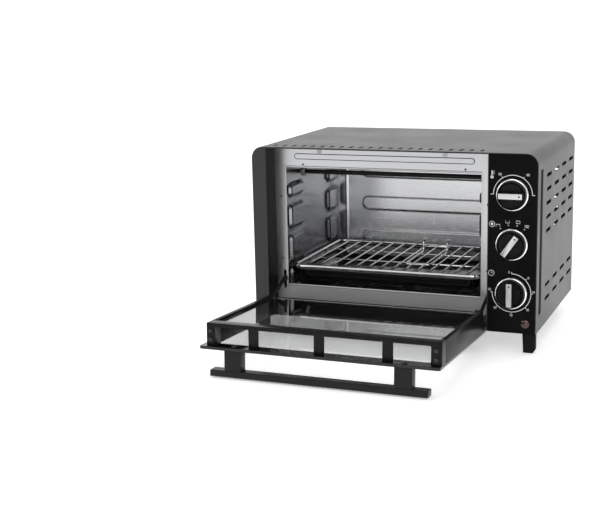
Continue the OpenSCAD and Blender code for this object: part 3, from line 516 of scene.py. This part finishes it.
def rib_shade_line():
    """A near-black strip round the header's long rib, painted shade along its step, and two small dimples by the
    mouth's upper edge, painted dark as the shade in them.
    """
    mid = (mm("cavity_front")[0][0] + mm("cavity_front")[1][0]) / 2 + 2
    y = RECESS_DEPTH - 0.63
    bm = bmesh.new()
    loops = []
    for r in (4.15, 3.15):
        loop = []
        for sx, a0 in ((1, -90), (-1, 90)):
            for k in range(13):
                a = math.radians(a0 + 15 * k)
                loop.append(bm.verts.new(P(mid + sx * 125.1 + r * math.cos(a), y, 247.6 + r * math.sin(a))))
        loops.append(loop)
    for k in range(len(loops[0])):
        n = (k + 1) % len(loops[0])
        bm.faces.new((loops[0][k], loops[0][n], loops[1][n], loops[1][k]))
    for x in (-137, 96):
        ring = []
        for r, d in ((1.5, 0.02), (1.2, 0.22), (0.6, 0.3)):
            turns = [TAU * k / 20 for k in range(20)]
            ring.append([bm.verts.new(P(x + r * math.cos(a), RECESS_DEPTH - d, 236.4 + r * math.sin(a)))
                         for a in turns])
        for a, b in zip(ring, ring[1:]):
            for k in range(20):
                bm.faces.new((a[k], a[(k + 1) % 20], b[(k + 1) % 20], b[k]))
        bm.faces.new(ring[-1])
    me = bpy.data.meshes.new("rib_shade_line")
    bm.to_mesh(me)
    bm.free()
    # painted shade: this near-black steel stands for the shade along the rib's step and in the dimples
    dark = metal("rib_painted_shade", (0.06, 0.06, 0.063), 0.4, (1, 40, 40), 40, 0.1)
    piece("rib_shade_line", me, "casing", "bright_steel", dark, (), 60)


rib_shade_line()

# ---------------------------------------------------------------- round wire, tubes and turned pieces


def tube_mesh(name, runs, sides=14):
    """Round wires: each run is (points in metres, radius, closed)."""
    bm = bmesh.new()
    for points, radius, closed in runs:
        n = len(points)
        rings, normal = [], None
        for i, p in enumerate(points):
            a = points[(i - 1) % n] if closed or i else p
            b = points[(i + 1) % n] if closed or i < n - 1 else p
            d = (b - a).normalized()
            if normal is None:
                normal = d.orthogonal().normalized()
            normal = (normal - d * normal.dot(d)).normalized()
            side = d.cross(normal)
            ring = []
            for k in range(sides):
                a = TAU * k / sides
                ring.append(bm.verts.new(p + (normal * math.cos(a) + side * math.sin(a)) * radius))
            rings.append(ring)
        if closed:
            twist = min(range(sides), key=lambda k: (rings[-1][0].co - rings[0][k].co).length)
        for i in range(n if closed else n - 1):
            r0, r1 = rings[i], rings[(i + 1) % n]
            off = twist if closed and i == n - 1 else 0
            for k in range(sides):
                bm.faces.new((r0[k], r0[(k + 1) % sides], r1[(k + 1 + off) % sides], r1[(k + off) % sides]))
        if not closed:
            ends = ((rings[0], points[0], points[0] - points[1]),
                    (rings[-1], points[-1], points[-1] - points[-2]))
            for ring, p, d in ends:
                inner = [bm.verts.new(p + (v.co - p) * 0.7 + d.normalized() * radius * 0.3) for v in ring]
                for k in range(sides):
                    bm.faces.new((ring[k], ring[(k + 1) % sides], inner[(k + 1) % sides], inner[k]))
                bm.faces.new(inner)
    bmesh.ops.recalc_face_normals(bm, faces=bm.faces)
    me = bpy.data.meshes.new(name)
    bm.to_mesh(me)
    bm.free()
    return me


def bent(points, radius, steps=7):
    """A path through points with each inner corner rounded."""
    out = [points[0]]
    for a, b, c in zip(points, points[1:], points[2:]):
        u, v = (a - b).normalized(), (c - b).normalized()
        r = min(radius, (a - b).length * 0.49, (c - b).length * 0.49)
        s, e = b + u * r, b + v * r
        for k in range(steps + 1):
            t = k / steps
            out.append(s * (1 - t) ** 2 + b * (2 * t * (1 - t)) + e * t ** 2)
    return out + [points[-1]]


def loop_rect(x0, x1, y0, y1, r, z, steps=8):
    pts = []
    corners = ((x1 - r, y1 - r, 0), (x0 + r, y1 - r, 90), (x0 + r, y0 + r, 180), (x1 - r, y0 + r, 270))
    for cx, cy, a0 in corners:
        for k in range(steps + 1):
            a = math.radians(a0 + 90 * k / steps)
            pts.append(P(cx + r * math.cos(a), cy + r * math.sin(a), z))
    return pts


def lathe(name, profile, centre, segments=96):
    """Turned about the line along Y through centre; profile is (radius, distance in front of the panel)."""
    bm = bmesh.new()
    rings = []
    for r, d in profile:
        if r < 1e-6:
            rings.append([bm.verts.new(P(centre[0], -d, centre[1]))])
        else:
            turns = [TAU * k / segments for k in range(segments)]
            rings.append([bm.verts.new(P(centre[0] + r * math.cos(a), -d, centre[1] + r * math.sin(a)))
                          for a in turns])
    for a, b in zip(rings, rings[1:]):
        for k in range(segments):
            quad = [a[k % len(a)], a[(k + 1) % len(a)], b[(k + 1) % len(b)], b[k % len(b)]]
            face = []
            for v in quad:
                if v not in face:
                    face.append(v)
            if len(face) > 2:
                bm.faces.new(face)
    bmesh.ops.recalc_face_normals(bm, faces=bm.faces)
    me = bpy.data.meshes.new(name)
    bm.to_mesh(me)
    bm.free()
    return me


def rack():
    lo, hi = mm("wire_rack")
    w, c = 2.4, 1.25
    x0, x1, y0, y1 = lo[0] + 2.5, hi[0] - 2.5, lo[1] + 2.5, hi[1] - 2.5
    z = (lo[2] + hi[2]) / 2
    runs = [(loop_rect(x0, x1, y0, y1, 12, z), w / 1000, True)]
    step = (x1 - x0) / 15
    for i in range(1, 15):
        x = x0 + i * step
        wire = [P(x, y0 - 1.0, z + 0.9), P(x, y0 + 30, z + 0.95), P(x, (y0 + y1) / 2, z + 0.95),
                P(x, y1 - 30, z + 0.95), P(x, y1 + 1.0, z + 0.9)]
        runs.append((wire, c / 1000, False))
    for y in (y0 + (y1 - y0) / 3, y0 + (y1 - y0) * 2 / 3):
        wire = [P(x0 + 1, y, z - 1.15), P((x0 + x1) / 2, y, z - 1.15), P(x1 - 1, y, z - 1.15)]
        runs.append((wire, c / 1000, False))
    piece("rack_wires", tube_mesh("rack_wires", runs), "rack", "chrome", None, ("wire_rack",), 60)


def lifting_handle():
    lo, hi = mm("tray_handle")
    w = 1.45
    x0, x1, y0, z = lo[0] + 1.5, hi[0] - 1.5, lo[1] + 1.5, lo[2] + 1.5
    yb = y0 + 92
    pts = [P(x0, yb + 13.8, z + 16), P(x0, yb, z + 16), P(x0, yb, z), P(x0, y0, z),
           P(x1, y0, z), P(x1, yb, z), P(x1, yb, z + 16), P(x1, yb + 13.8, z + 16)]
    cross = [P(x0, yb, z + 8), P((x0 + x1) / 2, yb, z + 8), P(x1, yb, z + 8)]
    runs = [(bent(pts, 0.006), w / 1000, False), (cross, w / 1000, False)]
    piece("lifting_handle_wire", tube_mesh("lifting_handle_wire", runs), "lifting_handle", "chrome", None,
          ("tray_handle",), 60)


def tray():
    lo, hi = mm("baking_tray")
    top, bottom = hi[2], lo[2]
    levels = [(0.5, top - 1.2), (0.05, top - 0.9), (0.05, top - 0.5), (0.5, top - 0.1),
              (1.6, top), (4.4, top - 0.25),
              (5.6, top - 1.0), (6.4, top - 2.6), (8.6, top - 10), (9.8, bottom + 3.2), (11, bottom + 1.6),
              (13.5, bottom + 1.0), (34, bottom + 0.95), (36, bottom + 1.9), (38, bottom + 2.2),
              (90, bottom + 2.25)]
    bm = bmesh.new()
    rings = []
    for inset, z in levels:
        r = max(4.0, 16 - inset * 0.25)
        loop = loop_rect(lo[0] + inset, hi[0] - inset, lo[1] + inset, hi[1] - inset, r, z)
        rings.append([bm.verts.new(p) for p in loop])
    for a, b in zip(rings, rings[1:]):
        for k in range(len(a)):
            bm.faces.new((a[k], a[(k + 1) % len(a)], b[(k + 1) % len(b)], b[k]))
    bm.faces.new(rings[-1])
    bmesh.ops.recalc_face_normals(bm, faces=bm.faces)
    me = bpy.data.meshes.new("tray_shell")
    bm.to_mesh(me)
    bm.free()
    tmp = bpy.data.objects.new("tmp", me)
    bpy.context.scene.collection.objects.link(tmp)
    s = tmp.modifiers.new("s", "SOLIDIFY")
    s.thickness, s.offset = 0.0008, -1 if me.polygons[-1].normal.z > 0 else 1
    dg = bpy.context.evaluated_depsgraph_get()
    out = bpy.data.meshes.new_from_object(tmp.evaluated_get(dg))
    bpy.data.objects.remove(tmp)
    piece("tray_shell", out, "tray", "black_enamel", None, ("baking_tray",), 50)


rack()
lifting_handle()
tray()


def rods(node, ys, z):
    lo, hi = mm(node)
    for k, y in enumerate(ys):
        body = [P(lo[0] + 7 + (hi[0] - lo[0] - 14) * i / 24, y, z) for i in range(25)]
        ends = [([P(lo[0] + 0.3, y, z), P(lo[0] + 8, y, z)], 0.0013, False),
                ([P(hi[0] - 8, y, z), P(hi[0] - 0.3, y, z)], 0.0013, False)]
        me = tube_mesh(node + str(k), [(body, 0.0032, False)] + ends, 28)
        piece(node + "_rod_" + "ab"[k], me, "casing", "heater_black", None, (node,) if k == 0 else (), 40)


rods("upper_heaters", (100, 185), 217)
rods("lower_heaters", (66, 185), 52.7)


def spring(name, node):
    lo, hi = mm(node)
    x, z = (lo[0] + hi[0]) / 2, (lo[2] + hi[2]) / 2
    y0, y1, turns, steps = lo[1] + 0.6, hi[1] - 0.6, 34, 18
    pts = []
    for i in range(turns * steps + 1):
        t = i / steps
        r = 2.0 * min(1, t, turns - t) + 0.05
        a = TAU * t
        pts.append(P(x + r * math.cos(a), y0 + (y1 - y0) * t / turns, z + r * math.sin(a)))
    o = piece(name, tube_mesh(name, [(pts, 0.00055, False)], 8), "casing", "spring_steel", None, (node,), 60)
    tuple(P(x, 193, z))
    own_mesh(o)


spring("left_spring_coil", "left_door_spring")
spring("right_spring_coil", "right_door_spring")

# ---------------------------------------------------------------- knobs

KX = (mm("timer_shaft")[0][0] + mm("timer_shaft")[1][0]) / 2
KNOBS = [("temperature", "temperature_control", -90), ("function", "function_control", -35),
         ("timer", "timer_control", 0)]


def outline(points, d0, d1, centre, turn, bevel, name):
    """A flat outline (x, z) about a knob's centre, raised from d0 to d1 off the panel, its top edge bevelled."""
    c, s = math.cos(math.radians(turn)), math.sin(math.radians(turn))
    bm = bmesh.new()

    def ring(shrink, d):
        out = []
        for x, z in points:
            k = 1 - shrink / math.hypot(x, z)
            x, z = x * k, z * k
            out.append(bm.verts.new(P(centre[0] + x * c + z * s, -d, centre[1] - x * s + z * c)))
        return out
    rings = [ring(0, d0), ring(0, d1 - bevel), ring(bevel * 0.3, d1 - bevel * 0.3), ring(bevel, d1)]
    for a, b in zip(rings, rings[1:]):
        for k in range(len(a)):
            bm.faces.new((a[k], a[(k + 1) % len(a)], b[(k + 1) % len(b)], b[k]))
    bm.faces.new(rings[0])
    bm.faces.new(rings[-1])
    bmesh.ops.recalc_face_normals(bm, faces=bm.faces)
    me = bpy.data.meshes.new(name)
    bm.to_mesh(me)
    bm.free()
    return me


def bar_outline(half, radius, n=8):
    """A bar along Z whose ends follow a circle."""
    a = math.asin(half / radius)
    top = [(radius * math.sin(t), radius * math.cos(t)) for t in np.linspace(a, -a, n)]
    side = [(-half, z) for z in np.linspace(top[-1][1], -top[-1][1], 12)[1:-1]]
    low = [(radius * math.sin(t), -radius * math.cos(t)) for t in np.linspace(-a, a, n)]
    other = [(half, z) for z in np.linspace(low[-1][1], top[0][1], 12)[1:-1]]
    return [(float(x), float(z)) for x, z in top + side + low + other]


def rect_outline(half, length, r=0.6):
    pts = []
    for sx, sz, a0 in ((1, 1, 0), (-1, 1, 90), (-1, -1, 180), (1, -1, 270)):
        for k in range(4):
            a = math.radians(a0 + 30 * k)
            pts.append((sx * (half - r) + r * math.cos(a), sz * (length - r) + r * math.sin(a)))
    return pts


def knobs():
    for key, body, turn in KNOBS:
        lo, hi = mm(key + "_knob_ring")
        cz = (lo[2] + hi[2]) / 2
        centre = (KX, cz)
        R = (hi[0] - lo[0]) / 2
        turned = [(3, 1.2), (R - 1.7, 1.2), (R - 1.7, 4.4), (R - 2.9, 5.0), (R - 2.9, 10.6), (R - 3.0, 11.2),
                  (R - 3.1, 11.5), (R - 3.9, 11.5), (R - 4.4, 11.3), (R - 5.2, 9.9), (R - 5.8, 9.5),
                  (R - 7, 9.35),
                  (8, 9.25), (0, 9.25)]
        base = lathe(key + "_base", turned, centre)
        grip = outline(bar_outline(4.8, R - 4.2), 8.5, 17.0, centre, -turn, 0.7, key + "_grip")
        bm = bmesh.new()
        bm.from_mesh(base)
        bm.from_mesh(grip)
        me = bpy.data.meshes.new(key + "_knob_moulding")
        bm.to_mesh(me)
        bm.free()
        piece(key + "_knob_moulding", me, body, "knob_black", None, (key + "_knob",), 40)
        ring = [(R - 1.65, 1.2), (R - 0.1, 1.2), (R, 1.35), (R, 2.6), (R - 0.12, 3.6), (R - 0.45, 4.6),
                (R - 0.95, 5.3),
                (R - 1.5, 5.75), (R - 2.1, 5.9), (R - 2.6, 5.7), (R - 2.85, 5.2)]
        piece(key + "_trim_ring", lathe(key + "_trim_ring", ring, centre, 128), body, "chrome", None,
              (key + "_knob_ring",), 60)
        plate = outline(rect_outline(3.55, 15.5), 16.2, 17.25, centre, -turn, 0.25, key + "_plate")
        piece(key + "_pointer_plate", plate, body, "silver_insert", None, (key + "_knob_insert",), 40)
        c, s = math.cos(math.radians(turn)), math.sin(math.radians(turn))
        at = (KX - 11.6 * s, cz + 11.6 * c)
        dot = lathe(key + "_dot", [(0, 17.3), (1.15, 17.3), (1.25, 17.2), (1.25, 17.0)], at, 32)
        piece(key + "_pointer_dot", dot, body, "knob_black", None, (), 40)


knobs()

# ---------------------------------------------------------------- printing on the control panel


def ink():
    t = Tree("panel_ink")
    t.set(Base_Color=t.ramp(t.noise(900, 3), [(0.3, (0.62, 0.62, 0.62)), (0.7, (0.74, 0.74, 0.74))]))
    t.set(Roughness=t.ranged(t.noise(400, 2), 0.3, 0.7, 0.35, 0.5))
    return t.mat


INK = ink()
DECALS = bmesh.new()


def flat(points):
    """A printed area: a thin raised outline of (x, z) millimetres on the panel's front."""
    front = [DECALS.verts.new(P(x, -0.07, z)) for x, z in points]
    back = [DECALS.verts.new(P(x, -0.01, z)) for x, z in points]
    DECALS.faces.new(front)
    for k in range(len(front)):
        DECALS.faces.new((front[k], front[(k + 1) % len(front)], back[(k + 1) % len(back)], back[k]))


def arc(cx, cz, r0, r1, a0, a1, n=48):
    """Angles in degrees clockwise from straight up."""
    angles = [math.radians(a0 + (a1 - a0) * k / n) for k in range(n + 1)]
    for a, b in zip(angles, angles[1:]):
        flat([(cx + r * math.sin(t), cz + r * math.cos(t)) for r, t in ((r0, a), (r1, a), (r1, b), (r0, b))])


def bar(x0, z0, x1, z1, w):
    d = math.hypot(x1 - x0, z1 - z0)
    nx, nz = -(z1 - z0) / d * w / 2, (x1 - x0) / d * w / 2
    flat([(x0 + nx, z0 + nz), (x1 + nx, z1 + nz), (x1 - nx, z1 - nz), (x0 - nx, z0 - nz)])


def tick(cx, cz, angle, r0, r1, w=0.55):
    s, c = math.sin(math.radians(angle)), math.cos(math.radians(angle))
    bar(cx + r0 * s, cz + r0 * c, cx + r1 * s, cz + r1 * c, w)


SEGMENTS = {"0": "abcdef", "1": "bc", "2": "abged", "3": "abgcd", "4": "fgbc", "5": "afgcd", "6": "afgedc",
            "7": "abc", "8": "abcdefg", "9": "abcdfg"}


def number(text, cx, cz, h=2.5, w=0.34):
    """Dial numbers in plain strokes."""
    dw = h * 0.52
    x = cx - (len(text) * dw + (len(text) - 1) * h * 0.22) / 2
    for ch in text:
        l, r, t, m, b = x, x + dw, cz + h / 2, cz, cz - h / 2
        lines = {"a": (l, t, r, t), "b": (r, t, r, m), "c": (r, m, r, b), "d": (l, b, r, b), "e": (l, m, l, b),
                 "f": (l, t, l, m), "g": (l, m, r, m)}
        for seg in SEGMENTS[ch]:
            x0, z0, x1, z1 = lines[seg]
            if z0 == z1:
                bar(x0 - w / 2, z0, x1 + w / 2, z1, w)
            else:
                bar(x0, z0, x1, z1, w)
        x += dw + h * 0.22


def markings():
    rings = [mm(key + "_knob_ring") for key, _, _ in KNOBS]
    z_temp, z_func, z_time = [(lo[2] + hi[2]) / 2 for lo, hi in rings]
    # temperature: a half circle with four ticks and numbers
    arc(KX, z_temp, 24.9, 25.8, -90, 90, 60)
    for a in (-90, 90):
        tick(KX, z_temp, a, 24.9, 29.0, 0.8)
    for a in (-32, 32):
        tick(KX, z_temp, a, 25.0, 27.4, 0.8)
    number("100", KX - 17.5, z_temp + 26.2)
    number("180", KX + 18.6, z_temp + 26.2)
    # thermometer
    tx, tz = KX - 27.4, z_temp + 22.4
    arc(tx, tz, 0, 2.1, 0, 360, 20)
    bar(tx, tz, tx, tz + 8.2, 1.5)
    for k in range(3):
        bar(tx + 1.5, tz + 3.8 + 1.9 * k, tx + 3.2, tz + 3.8 + 1.9 * k, 0.5)
    # function: four positions with small heat symbols, and a ring with a diamond
    for a, kind in ((-38, "top"), (-12, "low"), (14, "both"), (38, "fan")):
        s, c = math.sin(math.radians(a)), math.cos(math.radians(a))
        arc(KX + 25.4 * s, z_func + 25.4 * c, 0, 0.75, 0, 360, 12)
        x, z = KX + 30.6 * s, z_func + 30.2 * c
        for sx in (-1, 1):
            bar(x + sx * 2.4, z - 1.6, x + sx * 2.4, z + 1.6, 0.35)
        if kind in ("top", "both", "fan"):
            bar(x - 2.6, z + 1.7, x + 2.6, z + 1.7, 0.6)
        if kind in ("low", "both"):
            bar(x - 2.6, z - 1.7, x + 2.6, z - 1.7, 0.6)
        if kind == "fan":
            arc(x, z - 0.4, 0.5, 1.1, 0, 360, 12)
    fx, fz = KX - 26.6, z_func + 25.6
    arc(fx, fz, 3.4, 3.95, 0, 360, 36)
    flat([(fx, fz + 2.3), (fx + 2.0, fz), (fx, fz - 2.3), (fx - 2.0, fz)])
    # timer: three quarters of a circle, ticks and numbers, and a clock
    arc(KX, z_time, 25.2, 26.1, 0, 270, 80)
    for k in range(7):
        a = 45 * k
        tick(KX, z_time, a, 25.2, 28.0, 0.75)
        s, c = math.sin(math.radians(a)), math.cos(math.radians(a))
        if k == 0:
            number("0", KX - 3.4, z_time + 27.6)
        elif k == 6:
            number("60", KX - 29.0, z_time + 3.2, 2.4)
        elif k == 2:
            number("20", KX + 29.2, z_time + 2.8, 2.2)
        else:
            number(str(10 * k), KX + 30.4 * s, z_time + 30.2 * c)
    ax, az = KX - 27.0, z_time + 25.4
    arc(ax, az, 3.4, 3.95, 0, 360, 36)
    bar(ax, az, ax, az + 2.6, 0.5)
    bar(ax, az, ax + 1.9, az, 0.5)
    bmesh.ops.recalc_face_normals(DECALS, faces=DECALS.faces)
    me = bpy.data.meshes.new("panel_printing")
    DECALS.to_mesh(me)
    DECALS.free()
    piece("panel_printing", me, "casing", "gloss_black", INK)


markings()

# ---------------------------------------------------------------- door glass


def door_turn():
    """From the closed door's place to where it rests, open."""
    j = [j for j in frame["joints"] if j["name"] == "door_hinge"][0]
    at = Vector(j["pos_m"])
    return Matrix.Translation(at) @ Matrix.Rotation(math.radians(87), 4, "X") @ Matrix.Translation(-at)


OPEN = door_turn()


def round_loop(x0, x1, z0, z1, r_low, r_high, steps=8):
    """A rectangle with rounded corners, as (x, z) points."""
    pts = []
    for cx, cz, r, a0 in ((x1 - r_high, z1 - r_high, r_high, 0), (x0 + r_high, z1 - r_high, r_high, 90),
                          (x0 + r_low, z0 + r_low, r_low, 180), (x1 - r_low, z0 + r_low, r_low, 270)):
        for k in range(steps + 1):
            a = math.radians(a0 + 90 * k / steps)
            pts.append((cx + r * math.cos(a), cz + r * math.sin(a)))
    return pts


def plate(name, loops, y0, y1, chamfer=0.35):
    """A flat plate on the closed door: the first loop is its edge, any others are windows in it."""
    bm = bmesh.new()
    rings = []
    for y, inset in ((y0, chamfer), (y0 + chamfer, 0), (y1 - chamfer, 0), (y1, chamfer)):
        ring = []
        for n, loop in enumerate(loops):
            cx = sum(p[0] for p in loop) / len(loop)
            cz = sum(p[1] for p in loop) / len(loop)
            way = inset if n == 0 else -inset
            ring.append([bm.verts.new(P(x - math.copysign(way, x - cx), y, z - math.copysign(way, z - cz)))
                         for x, z in loop])
        rings.append(ring)
    for ring in (rings[0], rings[-1]):
        edges = [bm.edges.new((vs[k], vs[(k + 1) % len(vs)])) for vs in ring for k in range(len(vs))]
        bmesh.ops.triangle_fill(bm, use_beauty=True, use_dissolve=False, edges=edges)
    for a, b in zip(rings, rings[1:]):
        for u, v in zip(a, b):
            for k in range(len(u)):
                bm.faces.new((u[k], u[(k + 1) % len(u)], v[(k + 1) % len(v)], v[k]))
    bmesh.ops.recalc_face_normals(bm, faces=bm.faces)
    me = bpy.data.meshes.new(name)
    bm.to_mesh(me)
    bm.free()
    me.transform(OPEN)
    return me


def door_glass():
    """The outer pane: black fired on all round, clear in the middle."""
    pane_node = N["door_outer_panel"]
    shut = [OPEN.inverted() @ pane_node.matrix_world @ v.co for v in pane_node.data.vertices]
    low, top = min(v.z for v in shut) * 1000 + 0.05, max(v.z for v in shut) * 1000 - 0.1
    window = round_loop(-165, 121, 58, 241, 9, 9)
    border = painted("fired_border", (0.0035, 0.0035, 0.0038), 0.06, 1500, 0.000001, 0.1, 0.1, 0.0004,
                     spec=0.4)
    edge = round_loop(-179.1, 133.9, low, top, 0.8, 3)
    piece("outer_glass_border", plate("outer_glass_border", [edge, window], 0, 4), "door", "tinted_glass",
          border, ("door_outer_panel",))
    pane = round_loop(-164.98, 120.98, 58.02, 240.98, 9, 9)
    clear = plate("outer_glass_window", [pane], 0.02, 3.98, 0.01)
    piece("outer_glass_window", clear, "door", "tinted_glass")


door_glass()

# ---------------------------------------------------------------- studio


def studio():
    floor = bpy.data.meshes.new("floor")
    rows = []
    for k in range(25):
        a = k / 24
        if a < 0.5:
            rows.append((-6 + 16 * a, 0.0))
        else:
            b = (a - 0.5) * 2 * math.pi / 2
            rows.append((2.0 + 2.4 * math.sin(b), 2.4 - 2.4 * math.cos(b)))
    rows.append((4.4, 7.0))
    verts = [(x, y, z) for y, z in rows for x in (-9, 9)]
    faces = [(2 * i, 2 * i + 1, 2 * i + 3, 2 * i + 2) for i in range(len(rows) - 1)]
    floor.from_pydata(verts, [], faces)
    o = bpy.data.objects.new("studio_floor", floor)
    bpy.context.scene.collection.objects.link(o)
    for p in floor.polygons:
        p.use_smooth = True
    t = Tree("studio_floor")
    white = t.ramp(t.noise(2, 3), [(0.3, (0.93, 0.93, 0.93)), (0.7, (0.95, 0.95, 0.95))])
    t.set(Base_Color=white, Roughness=0.6)
    t.set(Emission_Color=(1, 1, 1), Emission_Strength=0.35)
    floor.materials.append(t.mat)
    w = bpy.data.worlds.new("studio")
    bpy.context.scene.world = w
    w.use_nodes = True
    w.node_tree.nodes["Background"].inputs[0].default_value = (1, 1, 1, 1)
    w.node_tree.nodes["Background"].inputs[1].default_value = 0.7


def lamp(name, at, towards, size, power, tint=(1, 1, 1)):
    d = bpy.data.lights.new(name, "AREA")
    d.shape, d.size, d.size_y, d.energy, d.color = "RECTANGLE", size[0], size[1], power, tint
    o = bpy.data.objects.new(name, d)
    o.location = at
    o.rotation_mode = "QUATERNION"
    o.rotation_quaternion = (Vector(towards) - Vector(at)).to_track_quat("-Z", "Y")
    bpy.context.scene.collection.objects.link(o)


studio()
lamp("key", (0.9, -2.4, 2.0), (0, 0, 0.12), (1.8, 1.4), 20)
lamp("over", (-0.1, 0.3, 2.6), (0, 0.1, 0.2), (1.8, 1.4), 14)
lamp("left", (-2.4, -1.2, 1.2), (0, 0, 0.1), (1.2, 1.2), 10)
bpy.context.scene.view_settings.view_transform = "Standard"


def camera():
    yaw, pitch, roll = 0.3911, 0.2164, -0.023
    fwd = Vector((-math.sin(yaw) * math.cos(pitch), math.cos(yaw) * math.cos(pitch), -math.sin(pitch)))
    right = Vector((math.cos(yaw), math.sin(yaw), 0))
    up = right.cross(fwd)
    cr = right * math.cos(roll) + up * math.sin(roll)
    cu = up * math.cos(roll) - right * math.sin(roll)
    cam = bpy.data.cameras.new("camera")
    cam.sensor_fit, cam.sensor_width, cam.lens = "HORIZONTAL", 36, 1217.8 / 600 * 36
    cam.clip_start, cam.clip_end = 0.05, 60
    o = bpy.data.objects.new("camera", cam)
    m = Matrix((cr, cu, -fwd)).transposed().to_4x4()
    m.translation = P(502.6, -1536.9, 463.6)
    o.matrix_world = m
    bpy.context.scene.collection.objects.link(o)
    bpy.context.scene.camera = o


camera()
